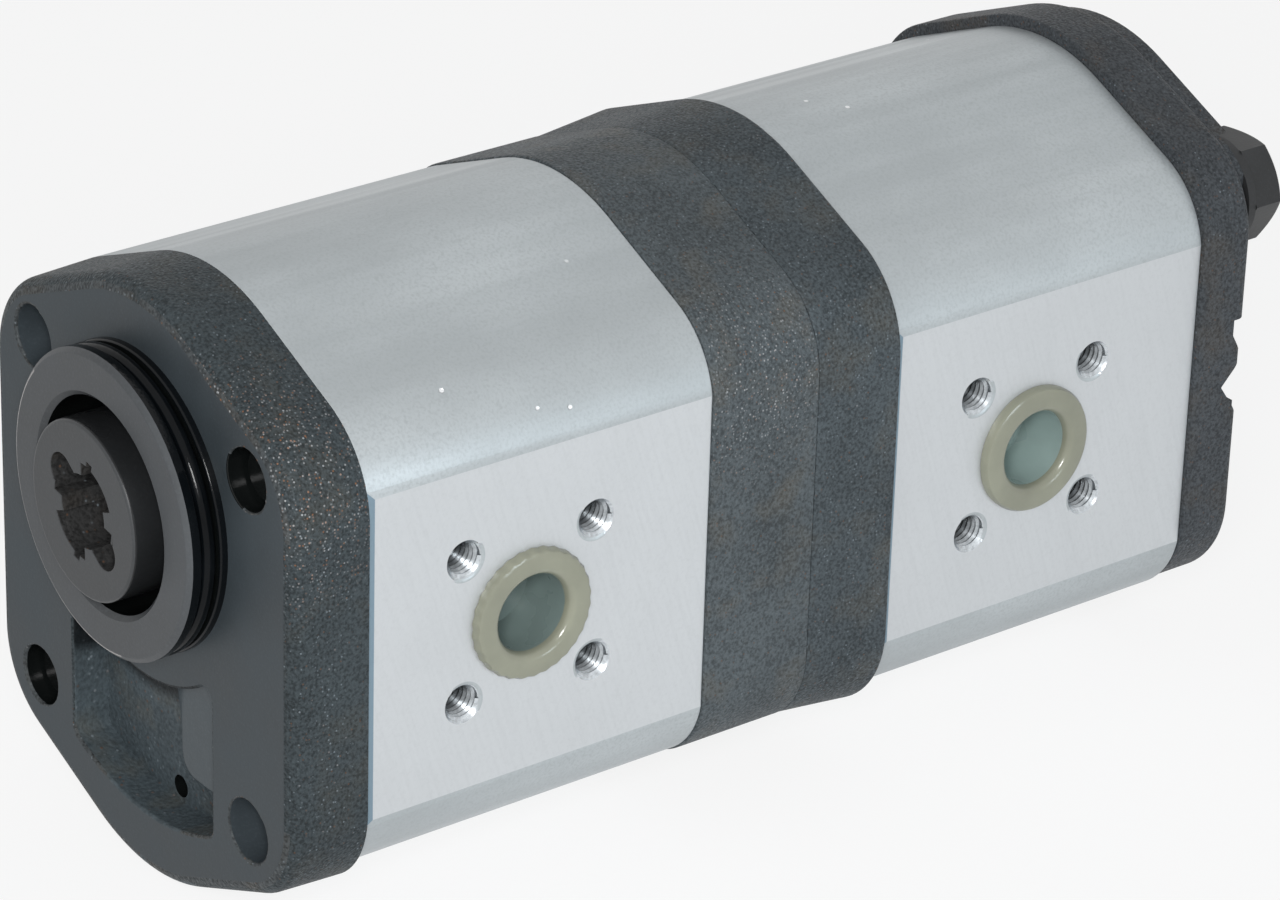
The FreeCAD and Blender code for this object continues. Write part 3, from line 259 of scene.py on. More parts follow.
def start_finish(name, metallic=0.0, gloss=0.5):
    """A new material with its node tree, its shader and the pump's own coordinates."""
    material = bpy.data.materials.new(name)
    material.use_nodes = True
    tree = material.node_tree
    shader = tree.nodes["Principled BSDF"]
    shader.inputs["Metallic"].default_value = metallic
    shader.inputs["Specular IOR Level"].default_value = gloss
    place = tree.nodes.new("ShaderNodeTexCoord").outputs["Object"]
    return material, tree, shader, place


def mottle(tree, place, size, detail=3.0, stretch=(1.0, 1.0, 1.0)):
    """Soft noise with patches of a size in metres, drawn out along an axis by its stretch."""
    lay = tree.nodes.new("ShaderNodeMapping")
    lay.inputs["Scale"].default_value = [1.0 / (size * s) for s in stretch]
    noise = tree.nodes.new("ShaderNodeTexNoise")
    noise.inputs["Scale"].default_value = 1.0
    noise.inputs["Detail"].default_value = detail
    tree.links.new(place, lay.inputs["Vector"])
    tree.links.new(lay.outputs["Vector"], noise.inputs["Vector"])
    return noise.outputs["Fac"]


def grains(tree, place, size):
    """Packed grains of a size in metres: the way from a grain's middle, and its three chances."""
    cells = tree.nodes.new("ShaderNodeTexVoronoi")
    cells.inputs["Scale"].default_value = 1.0 / size
    tree.links.new(place, cells.inputs["Vector"])
    split = tree.nodes.new("ShaderNodeSeparateColor")
    tree.links.new(cells.outputs["Color"], split.inputs["Color"])
    return cells.outputs["Distance"], split.outputs


def near(tree, place, middle, reach, full=0.3):
    """A factor that grows from 0 to 1 towards a point, and is 1 within a share of the reach."""
    gap = tree.nodes.new("ShaderNodeVectorMath")
    gap.operation = "DISTANCE"
    tree.links.new(place, gap.inputs[0])
    gap.inputs[1].default_value = middle
    return ranged(tree, gap.outputs["Value"], reach, full * reach, 0.0, 1.0)


def both(tree, one, other):
    """The product of two factors."""
    return calculated(tree, "MULTIPLY", one, other)


def shade(tone, share):
    """A tone made darker or lighter."""
    return tuple(share * part for part in tone)


def blotched(tree, factor, tone, dark, light):
    """A tone that goes from dark to light, each a level of the factor and a share of the tone."""
    ramp = tree.nodes.new("ShaderNodeValToRGB")
    for stop, (position, share) in zip(ramp.color_ramp.elements, (dark, light)):
        stop.position = position
        stop.color = (*shade(tone, share), 1.0)
    tree.links.new(factor, ramp.inputs["Fac"])
    return ramp.outputs["Color"]


def over(tree, factor, ground, colour):
    """A colour laid over the ground where the factor is 1."""
    mix = tree.nodes.new("ShaderNodeMix")
    mix.data_type = "RGBA"
    tree.links.new(factor, mix.inputs["Factor"])
    tree.links.new(ground, mix.inputs[6])
    mix.inputs[7].default_value = (*colour, 1.0)
    return mix.outputs[2]


def tinted(tree, ground, factor, low, high, strength, colour):
    """The ground with a colour over it, from none of it at low to its full strength at high."""
    return over(tree, ranged(tree, factor, low, high, 0.0, strength), ground, colour)


def sprinkled(tree, ground, grain, chance, low, high, strength, colour, where=None):
    """The ground with the grains of the highest chance in a colour, where a factor allows it."""
    share = ranged(tree, chance, low, high, 0.0, strength)
    if where is not None:
        share = both(tree, share, where)
    return over(tree, both(tree, grain, share), ground, colour)


def paint(tree, shader, ground, factor, rough_low, rough_high):
    """Give the shader its colour, and a roughness that follows a factor."""
    tree.links.new(ground, shader.inputs["Base Color"])
    tree.links.new(ranged(tree, factor, 0.3, 0.7, rough_low, rough_high),
                   shader.inputs["Roughness"])


def relief(tree, shader, *layers):
    """Small height layers (factor, depth in metres), the coarsest first."""
    below = None
    for height, depth in layers:
        bump = tree.nodes.new("ShaderNodeBump")
        bump.inputs["Distance"].default_value = depth
        tree.links.new(height, bump.inputs["Height"])
        if below is not None:
            tree.links.new(below, bump.inputs["Normal"])
        below = bump.outputs["Normal"]
    tree.links.new(below, shader.inputs["Normal"])


def cast_finish(name, tone, grain=0.0005, glints=0.86, depth=0.00013, specks=1.0,
                glints_and_rust_at=None, rusty=0.8, painted_shadow_at=None):
    """Blackened rough iron: fine grains, a few of them rusty brown and a few painted bluish white
    as glints.

    More painted glints, bright grey grains with rusty specks among them, gather round a point
    within a reach, and a painted shadow darkens it round another point.
    """
    material, tree, shader, place = start_finish(name, gloss=0.16)
    patches = mottle(tree, place, 0.016, 4.0)
    fine = mottle(tree, place, grain, 2.0)
    away, chances = grains(tree, place, grain)
    ground = blotched(tree, patches, tone, (0.36, 0.8), (0.64, 1.2))
    brown = (1.5 * tone[0], 1.2 * tone[1], 0.95 * tone[2])
    ground = tinted(tree, ground, mottle(tree, place, 0.009, 3.0), 0.5, 0.72, 0.8, brown)
    ground = tinted(tree, ground, fine, 0.4, 0.72, 0.55 * specks, shade(tone, 2.3))
    ground = tinted(tree, ground, fine, 0.5, 0.28, 0.7 * specks, shade(tone, 0.45))
    middle = ranged(tree, away, 0.42, 0.12, 0.0, 1.0)
    ground = sprinkled(tree, ground, middle, chances["Green"], 0.94, 0.97, 0.7, rust_brown)
    # Painted glints: a few grains are coloured bluish white, standing in for light sparkling on
    # them.
    ground = sprinkled(tree, ground, middle, chances["Red"], glints, 1.0, 0.75, painted_glint_blue)
    if glints_and_rust_at is not None:
        where = near(tree, place, *glints_and_rust_at)
        # Painted glints gather round a point as bright grey grains, with real rust specks among
        # them.
        ground = sprinkled(tree, ground, middle, chances["Blue"], 0.55, 0.95, 0.9,
                           painted_glint_iron, where)
        ground = sprinkled(tree, ground, middle, chances["Green"], 0.75, 0.9, rusty,
                           fresh_rust, where)
    if painted_shadow_at is not None:
        # Painted shadow: the colour turns near black round a point.
        ground = tinted(tree, ground, near(tree, place, *painted_shadow_at), 0.0, 1.0, 0.88, painted_shadow_black)
    paint(tree, shader, ground, fine, 0.62, 0.42)
    relief(tree, shader, (mottle(tree, place, 0.004), depth * 1.5), (away, -depth), (fine, depth))
    return material


def machined_black(name, tone, roughness=0.5, gloss=0.3):
    """A blackened machined face: smooth, with faint stains and very fine cutter marks."""
    material, tree, shader, place = start_finish(name, gloss=gloss)
    stains = mottle(tree, place, 0.018, 4.0)
    fine = mottle(tree, place, 0.0005, 2.0)
    ground = blotched(tree, stains, tone, (0.35, 0.84), (0.68, 1.16))
    ground = tinted(tree, ground, fine, 0.5, 0.75, 0.22, shade(tone, 1.9))
    paint(tree, shader, ground, stains, roughness - 0.07, roughness + 0.07)
    relief(tree, shader, (mottle(tree, place, 0.003), 0.00004), (fine, 0.00002))
    return material


def at_level(number, level):
    """Whether a number is at a level, to a hundredth of a millimetre."""
    return abs(number - level) < 1e-5


def from_axis(p):
    """How far a point is from the drive shaft's axis."""
    return math.hypot(p.x, p.z)


def from_bolt(p):
    """How far a point is from the axis of the nearest bolt or mounting hole."""
    return math.hypot(abs(p.x) - bolt_reach, abs(p.z - outline_middle) - bolt_reach)


def copy_of(name):
    """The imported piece's own shape as one closed skin, its flat faces in one piece each."""
    bm = bmesh.new()
    bm.from_mesh(nodes[name].data)
    bmesh.ops.remove_doubles(bm, verts=bm.verts, dist=weld_gap)
    bmesh.ops.dissolve_limit(bm, angle_limit=flat_within, verts=bm.verts, edges=bm.edges)
    return bm


def soften(bm, width, segments, test, sharp=40.0):
    """Break by a width the edges of a piece that are sharp and whose both ends pass a test."""
    edges = [edge for edge in bm.edges
             if len(edge.link_faces) == 2 and edge.calc_face_angle(0.0) > math.radians(sharp)
             and test(edge.verts[0].co) and test(edge.verts[1].co)]
    bmesh.ops.bevel(bm, geom=edges, offset=width, offset_type="OFFSET", affect="EDGES",
                    segments=segments, profile=0.5, material=-1, clamp_overlap=False)


def set_down(bm, name, finishes, body, instead_of=(), choose=None):
    """Make the finished piece of a bmesh: smooth but for its sharp edges, painted and riding.

    A piece with several finishes is given a function that chooses one for each face.
    """
    for face in bm.faces:
        face.smooth = True
        if choose is not None:
            face.material_index = finishes.index(choose(face.calc_center_median(), face.normal))
    for edge in bm.edges:
        if len(edge.link_faces) == 2:
            edge.smooth = edge.calc_face_angle(0.0) < crease_angle
    mesh = bpy.data.meshes.new(name)
    bm.to_mesh(mesh)
    bm.free()
    if "custom_normal" in mesh.attributes:
        mesh.attributes.remove(mesh.attributes["custom_normal"])
    for finish in finishes:
        mesh.materials.append(finish)
    piece = add_to_scene(name, mesh)
    even = piece.modifiers.new("even_normals", "WEIGHTED_NORMAL")
    even.keep_sharp = True
    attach(piece, body)
    if instead_of:
        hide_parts(*instead_of)


# Painted glints and rust specks on the upper right shoulder of the cover.
cover_cast = cast_finish("cover_cast_iron", (0.031, 0.039, 0.043),
                         glints_and_rust_at=((0.036, 0.0, 0.017), 0.024))
cover_face = machined_black("cover_machined_face", (0.038, 0.048, 0.055))
spigot_face = machined_black("spigot_turned_face", (0.062, 0.067, 0.072), roughness=0.45)
spigot_side = machined_black("spigot_turned_side", (0.003, 0.004, 0.005), roughness=0.13,
                             gloss=0.16)
cover_bore = machined_black("cover_bores", (0.045, 0.056, 0.064), roughness=0.35)
# Near black: oil, and painted shade deep in the spigot bore, the drain hole, the tie bolt holes
# and the bolt ends.
oil_and_shade_bore = machined_black("oiled_bores_painted_shade", (0.005, 0.006, 0.006), roughness=0.2, gloss=0.25)
# The bevelled edge of the mounting face is a little lighter as a painted highlight, with painted
# glints and rust specks round its upper right.
cover_edge_glints = cast_finish("cover_edge_painted_glints_and_rust", (0.046, 0.052, 0.055), grain=0.0006, glints=0.8,
                         glints_and_rust_at=((0.030, 0.0, 0.020), 0.032), rusty=1.0)
# A painted shadow darkens the top of the pocket, under the spigot.
cover_pocket = cast_finish("cover_pocket_skin", (0.058, 0.074, 0.083), grain=0.0008, glints=0.9,
                           depth=0.0001, specks=0.45,
                           painted_shadow_at=((-0.0083, 0.0065, -0.0052), 0.0345, 0.94))
# Painted reflection: a bright grey band on the lower left of the spigot's front edge, where the
# edge would mirror something bright.
spigot_painted_reflection = machined_black("spigot_edge_painted_reflection", (0.30, 0.285, 0.28), roughness=0.3, gloss=0.5)
cover_tongue = machined_black("cover_tongue", (0.052, 0.066, 0.075), roughness=0.42)


def cover_part(centre, normal):
    """Which finish a face of the front cover has."""
    away = from_axis(centre)
    if centre.y < spigot_face_start and away < spigot_reach:
        on_edge = away > spigot_edge_reach and -square_on < normal.y < -0.8
        # Only the lower left part of the edge gets the painted reflection.
        reflected = on_edge and centre.x < spigot_reflection_right and centre.z < spigot_reflection_top
        return spigot_painted_reflection if reflected else spigot_face
    if centre.y < -margin and away > spigot_side_reach:
        return spigot_side
    if abs(centre.y) < margin / 2 and normal.y < -square_on:
        return cover_face
    spread = abs(centre.z - cover_middle) + abs(centre.x)
    if centre.y < cover_edge_depth and away > cover_edge_reach and spread > cover_edge_spread:
        return cover_edge_glints
    if away < spigot_bore_reach:
        return oil_and_shade_bore
    if (abs(centre.x) < pocket_half_width + margin and centre.z < pocket_zone_top
            and -margin < centre.y < pocket_hole_end):
        if centre.y > pocket_hole_start:
            return oil_and_shade_bore
        on_tongue = centre.x > tongue_left and abs(centre.y - tongue_level) < margin
        return cover_tongue if on_tongue else cover_pocket
    if from_bolt(centre) < bolt_hole_reach:
        for_tie_bolt = centre.x * (centre.z - outline_middle) > 0.0
        return oil_and_shade_bore if for_tie_bolt else cover_bore
    return cover_cast


def on_cover_outline(p):
    """Whether a point of the front cover is at its outline, all round the mounting face."""
    up = abs(p.z - cover_middle)
    return (abs(p.x) > cover_flat_side or up > cover_flat_end
            or math.hypot(p.x, up - cover_arc_rise) > cover_arc_reach)


cover_bm = copy_of("front_cover")
soften(cover_bm, tongue_corner, tongue_corner_steps, lambda p: (
    at_level(p.x, tongue_left) and at_level(p.z, tongue_end)
    and tongue_level - margin < p.y < pocket_depth + margin))
soften(cover_bm, cover_break, 3, lambda p: (
    at_level(p.y, 0.0) and abs(p.x) < pocket_edge_reach and pocket_bottom < p.z < pocket_top))
soften(cover_bm, tongue_break, 3, lambda p: (
    at_level(p.y, tongue_level) and abs(p.x) < pocket_edge_reach))
soften(cover_bm, cover_break, 3, lambda p: at_level(p.y, 0.0) and on_cover_outline(p))
soften(cover_bm, bolt_hole_break, 2, lambda p: (
    at_level(p.y, 0.0) and from_bolt(p) < bolt_hole_reach))
soften(cover_bm, groove_break, 3, lambda p: (
    groove_front < p.y < groove_back and from_axis(p) > groove_edge_reach))
soften(cover_bm, spigot_break, 1, lambda p: (
    at_level(p.y, spigot_front) and from_axis(p) > spigot_edge_reach))
set_down(cover_bm, "front_cover_casting",
         (cover_cast, cover_face, spigot_face, spigot_side, cover_bore, cover_pocket,
          cover_tongue, oil_and_shade_bore, cover_edge_glints, spigot_painted_reflection),
         "housing", ["front_cover"], cover_part)

# Pilot O-ring
# A black rubber ring in the spigot's groove, wet with oil. It seals the spigot in the bore of the
# drive that the pump is bolted to.
o_ring_cord_radius = 0.0013
o_ring_outer_radius = 0.02495
o_ring_level = -0.0029
o_ring_cord_steps = 24
o_ring_steps = 160


def rubber_finish(name, tone, roughness, gloss=0.3):
    """Black rubber: faint bloom and a fine skin."""
    material, tree, shader, place = start_finish(name, gloss=gloss)
    bloom = mottle(tree, place, 0.006)
    ground = blotched(tree, bloom, tone, (0.35, 0.7), (0.7, 1.4))
    paint(tree, shader, ground, bloom, roughness - 0.05, roughness + 0.07)
    relief(tree, shader, (mottle(tree, place, 0.0012), 0.00003))
    return material


wet_rubber = rubber_finish("oiled_rubber", (0.003, 0.004, 0.005), roughness=0.12, gloss=0.12)
o_ring_bm = bmesh.new()
bmesh.ops.create_circle(o_ring_bm, segments=o_ring_cord_steps, radius=o_ring_cord_radius)
bmesh.ops.translate(o_ring_bm, verts=o_ring_bm.verts,
                    vec=(o_ring_outer_radius - o_ring_cord_radius, o_ring_level, 0.0))
bmesh.ops.spin(o_ring_bm, geom=o_ring_bm.verts[:] + o_ring_bm.edges[:], axis=(0.0, 1.0, 0.0),
               cent=(0.0, 0.0, 0.0), steps=o_ring_steps, angle=math.tau, use_merge=True)
bmesh.ops.recalc_face_normals(o_ring_bm, faces=o_ring_bm.faces)
set_down(o_ring_bm, "pilot_o_ring_rubber", (wet_rubber,),
         "housing", ["pilot_o_ring"])

# Shaft seal and its retaining ring
# The rubber lip seal behind the coupling keeps the oil in, and a sprung steel ring in a groove
# holds it in its bore.


def dress(name, finish):
    """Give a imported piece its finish."""
    for place in nodes[name].material_slots:
        place.material = finish


def metal_finish(name, tone, roughness, metallic=0.9, marks=(1.0, 1.0, 1.0)):
    """Bare or blackened metal with faint stains, and cutter marks drawn out along an axis."""
    material, tree, shader, place = start_finish(name, metallic)
    stains = mottle(tree, place, 0.008, 4.0)
    lines = mottle(tree, place, 0.0006, 3.0, marks)
    ground = blotched(tree, stains, tone, (0.35, 0.78), (0.7, 1.2))
    ground = tinted(tree, ground, lines, 0.45, 0.75, 0.3, shade(tone, 0.6))
    paint(tree, shader, ground, lines, roughness - 0.06, roughness + 0.1)
    relief(tree, shader, (lines, 0.00002))
    return material


seal_rubber = rubber_finish("seal_rubber", (0.016, 0.016, 0.017), roughness=0.45)
spring_steel = metal_finish("blackened_spring_steel", (0.05, 0.05, 0.053), roughness=0.4,
                            metallic=0.6)
dress("shaft_seal", seal_rubber)
dress("seal_retaining_ring", spring_steel)

# Drive coupling
# A loose ring of case hardened steel, forged and blackened. Its slot sits on the tang of the
# pump's shaft, and the grooves beside the slot take the tang of the drive.
coupling_front = -0.010
coupling_edge_reach = 0.0125
coupling_side_reach = 0.0128
coupling_break = 0.00025
coupling_face = machined_black("coupling_face", (0.047, 0.050, 0.053), roughness=0.42)
coupling_side = machined_black("coupling_side", (0.014, 0.015, 0.016), roughness=0.3, gloss=0.22)
coupling_inside = cast_finish("coupling_inside", (0.024, 0.024, 0.024), grain=0.0007, glints=0.96,
                              depth=0.00007)


def coupling_part(centre, normal):
    """Which finish a face of the coupling has."""
    if normal.y < -0.5:
        return coupling_face
    return coupling_side if from_axis(centre) > coupling_side_reach else coupling_inside


coupling_bm = copy_of("drive_coupling")
soften(coupling_bm, coupling_break, 2, lambda p: (
    at_level(p.y, coupling_front) and from_axis(p) < coupling_edge_reach))
set_down(coupling_bm, "drive_coupling_ring", (coupling_face, coupling_side, coupling_inside),
         "drive_line", ["drive_coupling"], coupling_part)

# Gears and shafts
# The gears are hobbed in one piece with their shafts from case hardened steel and ground. The
# sleeve that joins both stages and the pins that line up the sections are ground steel too.
ground_steel = metal_finish("ground_gear_steel", (0.42, 0.42, 0.43), roughness=0.28, metallic=1.0,
                            marks=(1.0, 8.0, 1.0))
for name in ("drive_shaft_gear", "front_driven_gear", "rear_drive_gear", "rear_driven_gear",
             "stage_coupling", "dowel_pins"):
    dress(name, ground_steel)

# Aluminium bodies
# Each stage's gears turn in a length of extruded aluminium. The sides with the ports are milled
# flat, the rest keeps the grey skin and the faint lines of the extrusion.
shaft_spacing = 0.030
port_face = 0.0418
port_side_start = 0.028
port_places = (0.04415, 0.14595)
pressure_screw_reach = 0.012374
suction_screw_reach = 0.014142
screw_hole_reach = 0.0034
flange_screws = [(side, along, reach)
                 for side, reach in ((1, pressure_screw_reach), (-1, suction_screw_reach))
                 for along in port_places]
section_flat_side = 0.0416
body_skin_reach = 0.0345
body_rim_reach = 0.034
body_break = 0.0003
screw_mouth_break = 0.00035
front_chamfer = 0.0016
chamfer_reach = 0.0018
chamfer_depth = 0.0004
milled_depth = 0.00006
nick_glint_white = (0.93, 0.94, 0.95)
painted_hole_shade = (0.03, 0.036, 0.04)
thread_light_end = 0.0415
thread_dark_start = 0.0372


def extruded_finish(name, tone, roughness=0.42):
    """Extruded aluminium, matt and a little blotchy, with long bands and a few small dents, their
    glint painted white.
    """
    material, tree, shader, place = start_finish(name, metallic=0.5)
    blotches = mottle(tree, place, 0.022, 5.0, (1.0, 2.0, 1.0))
    bands = mottle(tree, place, 0.005, 3.0, (1.0, 30.0, 1.0))
    fine = mottle(tree, place, 0.0005, 2.0)
    ground = blotched(tree, blotches, tone, (0.3, 0.86), (0.72, 1.1))
    ground = tinted(tree, ground, bands, 0.4, 0.75, 0.5, shade(tone, 0.84))
    ground = tinted(tree, ground, fine, 0.45, 0.75, 0.55, shade(tone, 0.74))
    away, chances = grains(tree, place, 0.005)
    nick_and_glint = both(tree, ranged(tree, away, 0.10, 0.07, 0.0, 1.0),
                ranged(tree, chances["Red"], 0.945, 0.955, 0.0, 0.8))
    # Painted highlight: each nick is coloured near white, as if it caught the light.
    paint(tree, shader, over(tree, nick_and_glint, ground, nick_glint_white), bands,
          roughness - 0.06, roughness + 0.08)
    relief(tree, shader, (bands, 0.00003), (nick_and_glint, -0.00015), (fine, 0.00002))
    return material


def milled_finish(name, tone, roughness=0.42):
    """Milled aluminium: paler than the skin, with the faint close arcs of a facing cutter."""
    material, tree, shader, place = start_finish(name, metallic=0.5)
    lay = tree.nodes.new("ShaderNodeMapping")
    lay.inputs["Rotation"].default_value = (math.radians(72.0), 0.0, 0.0)
    tree.links.new(place, lay.inputs["Vector"])
    passes = mottle(tree, lay.outputs["Vector"], 0.0006, 2.0, (1.0, 25.0, 1.0))
    clouds = mottle(tree, place, 0.03, 3.0)
    fine = mottle(tree, place, 0.0006, 2.0)
    ground = blotched(tree, clouds, tone, (0.3, 0.97), (0.7, 1.03))
    ground = tinted(tree, ground, passes, 0.45, 0.8, 0.16, shade(tone, 0.8))
    ground = tinted(tree, ground, fine, 0.48, 0.78, 0.26, shade(tone, 0.8))
    paint(tree, shader, ground, passes, roughness - 0.03, roughness + 0.03)
    relief(tree, shader, (passes, 0.000006), (fine, 0.000008))
    return material


def tapped_finish(name, tone):
    """The bare wall of a tapped hole, bright at its mouth and painted darker further in, as
    painted shade deep in the hole.
    """
    material, tree, shader, place = start_finish(name, metallic=0.8)
    shader.inputs["Roughness"].default_value = 0.25
    axes = tree.nodes.new("ShaderNodeSeparateXYZ")
    tree.links.new(place, axes.inputs["Vector"])
    out = calculated(tree, "ABSOLUTE", axes.outputs["X"])
    cut = mottle(tree, place, 0.0008, 3.0)
    ground = blotched(tree, cut, tone, (0.35, 0.7), (0.7, 1.0))
    # Painted shade: the wall darkens with depth into the hole.
    ground = tinted(tree, ground, out, thread_light_end, thread_dark_start, 0.93, painted_hole_shade)
    tree.links.new(ground, shader.inputs["Base Color"])
    relief(tree, shader, (cut, 0.00002))
    return material


def from_shafts(p):
    """How far a point is from the nearer shaft's axis."""
    return math.hypot(p.x, max(p.z, -shaft_spacing - p.z))


def on_rim(p, ends, reach, flat_side):
    """Whether a point is on the outer edge of an end of a section."""
    return (any(at_level(p.y, end) for end in ends)
            and (from_shafts(p) > reach or abs(p.x) > flat_side))


def at_flange_screw(p):
    """Whether a point is at one of the tapped holes round the ports."""
    return any(
        side * p.x > port_side_start and math.hypot(
            abs(p.y - along) - reach, abs(p.z - outline_middle) - reach) < screw_hole_reach
        for side, along, reach in flange_screws)


def near_port_face(p, depth):
    """Whether a point is less than a depth below the milled faces."""
    return abs(p.x) > port_face - depth


body_skin = extruded_finish("extruded_aluminium", (0.455, 0.49, 0.505))
body_milled = milled_finish("milled_aluminium", (0.565, 0.585, 0.60))
body_bright = metal_finish("cut_aluminium", (0.62, 0.66, 0.69), roughness=0.22)
body_chamfer = milled_finish("milled_chamfer", (0.20, 0.28, 0.34))
body_tapped = tapped_finish("tapped_aluminium", (0.66, 0.70, 0.73))
body_names = ("front_body", "rear_body")
body_front_ends = [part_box(name)[0].y for name in body_names]


def body_part(centre, normal):
    """Which finish a face of an aluminium body has."""
    if near_port_face(centre, milled_depth) and abs(normal.x) > square_on:
        return body_milled
    if at_flange_screw(centre):
        return body_tapped
    to_front = min(abs(centre.y - end) for end in body_front_ends)
    if (near_port_face(centre, chamfer_depth) and 0.1 < abs(normal.y) < 0.8
            and to_front < chamfer_reach):
        return body_chamfer
    outside = from_shafts(centre) > body_skin_reach or abs(centre.x) > section_flat_side
    return body_skin if outside and abs(normal.y) < 0.5 else body_bright


for name in body_names:
    body_bm = copy_of(name)
    low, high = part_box(name)
    soften(body_bm, front_chamfer, 1, lambda p: (
        at_level(p.y, low.y) and near_port_face(p, margin)))
    soften(body_bm, screw_mouth_break, 1, lambda p: (
        near_port_face(p, margin) and at_flange_screw(p)))
    soften(body_bm, body_break, 2, lambda p: on_rim(
        p, (low.y, high.y), body_rim_reach, section_flat_side))
    set_down(body_bm, name + "_extrusion",
             (body_skin, body_milled, body_bright, body_tapped, body_chamfer),
             "housing", [name], body_part)

# Inside the bodies
# Bearing blocks of aluminium hold the shafts in bronze bushes. Rubber seals with white plastic
# back-up rings press the blocks against the gears, and more rubber seals the joints.
block_aluminium = milled_finish("block_aluminium", (0.52, 0.53, 0.54))
bush_bronze = metal_finish("bush_bronze", (0.45, 0.27, 0.12), roughness=0.35, metallic=1.0)


def moulded_finish(name, tone, roughness):
    """Plain moulded plastic with a soft sheen."""
    material, tree, shader, place = start_finish(name)
    flow = mottle(tree, place, 0.007)
    ground = blotched(tree, flow, tone, (0.3, 0.9), (0.7, 1.08))
    paint(tree, shader, ground, flow, roughness - 0.05, roughness + 0.06)
    relief(tree, shader, (mottle(tree, place, 0.0009), 0.00002))
    return material


backup_white = moulded_finish("backup_ring_plastic", (0.7, 0.7, 0.68), roughness=0.45)
for stage in ("front", "rear"):
    dress(stage + "_fore_block", block_aluminium)
    dress(stage + "_aft_block", block_aluminium)
    dress(stage + "_bushes", bush_bronze)
    dress(stage + "_axial_seals", seal_rubber)
    dress(stage + "_section_seals", seal_rubber)
    dress(stage + "_backup_rings", backup_white)

# Port caps
# Soft plastic plugs pushed into the ports for shipping. The cup of the front pressure cap is
# painted darker than the others, as painted shade of the hole seen through its thin wall, and the
# rim of the front pressure cap is notched for a grip.
cap_cup_tone = (0.165, 0.215, 0.205)
pressure_bore = 0.0075
suction_bore = 0.010
cap_fit = 0.00012
cap_depth = 0.010
cap_wall = 0.0008
cap_foot_chamfer = 0.0008
cap_draft = 0.0005
cap_rim_width = 0.0035
cap_rim_outside = ((0.0, 0.0), (0.0009, 0.0), (0.0015, 0.00035), (0.0018, 0.001))
cap_rim_inside = ((0.0018, 0.0013), (0.0016, 0.00075), (0.00125, 0.00035), (0.0007, 0.0001),
                  (0.0001, 0.0))
cap_rim_depth = 0.001
cap_notches = 30
cap_notch_depth = 0.00022
cap_notch_start = 0.0004
cap_steps = 120
cap_rim = moulded_finish("cap_rim_plastic", (0.25, 0.255, 0.195), roughness=0.17)
# Painted shade: the darker copy of the cup plastic.
shaded_cap_cup = moulded_finish("cap_cup_plastic_painted_shade", cap_cup_tone, roughness=0.3)
pale_cap_cup = moulded_finish("pale_cap_cup_plastic", shade(cap_cup_tone, 1.65), roughness=0.3)


def port_cap(stage, kind, side, bore, cup=pale_cap_cup, notches=0):
    """A moulded cup with a rounded rim, in a port of one stage."""
    node = f"{stage}_{kind}_cap"
    low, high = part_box(node)
    middle = (low + high) / 2
    wall = bore - cap_fit
    inside = wall - cap_wall
    rim = bore + cap_rim_width
    profile = [(-cap_depth, 0.0), (-cap_depth, wall - cap_foot_chamfer),
               (-cap_depth + cap_foot_chamfer, wall), (0.0, wall)]
    profile += [(out, rim - less) for out, less in cap_rim_outside]
    profile += [(out, inside + more) for out, more in cap_rim_inside]
    profile += [(-cap_depth + cap_wall, inside - cap_draft), (-cap_depth + cap_wall, 0.0)]
    bm = bmesh.new()
    corners = [bm.verts.new((side * (port_face + along), middle.y + away, middle.z))
               for along, away in profile]
    for one, other in zip(corners, corners[1:]):
        bm.edges.new((one, other))
    bmesh.ops.spin(bm, geom=bm.verts[:] + bm.edges[:], axis=(1.0, 0.0, 0.0),
                   cent=(0.0, middle.y, middle.z), steps=cap_steps, angle=math.tau, use_merge=True)
    bmesh.ops.remove_doubles(bm, verts=bm.verts, dist=1e-6)
    bmesh.ops.recalc_face_normals(bm, faces=bm.faces)
    for vert in bm.verts:
        away = math.hypot(vert.co.y - middle.y, vert.co.z - middle.z)
        if notches and away > rim - cap_notch_start:
            turn = math.atan2(vert.co.z - middle.z, vert.co.y - middle.y)
            shrink = 1.0 - cap_notch_depth / away * (0.5 + 0.5 * math.cos(notches * turn))
            vert.co.y = middle.y + (vert.co.y - middle.y) * shrink
            vert.co.z = middle.z + (vert.co.z - middle.z) * shrink

    def cap_part(centre, normal):
        """Which finish a face of the cap has."""
        away = math.hypot(centre.y - middle.y, centre.z - middle.z)
        on_cap_rim = away > inside - margin and near_port_face(centre, cap_rim_depth)
        return cap_rim if on_cap_rim else cup

    set_down(bm, node + "_plug", (cap_rim, cup),
             f"{stage}_{kind}_plug", [node], cap_part)


port_cap("front", "pressure", 1, pressure_bore, cup=shaded_cap_cup, notches=cap_notches)
port_cap("rear", "pressure", 1, pressure_bore)
port_cap("front", "suction", -1, suction_bore)
port_cap("rear", "suction", -1, suction_bore)

# Threads around the ports
# Four tapped holes for a pipe flange sit around each port, cut bright into the aluminium. Only
# the ridges of their threads are made here, on the walls of the plain holes.
thread_pitch = 0.001
thread_outer = 0.00302
thread_inner = 0.00255
thread_turns = 11
thread_steps = 20
thread_mouth = 0.0412
root_share = 0.46
crest_share = 0.06

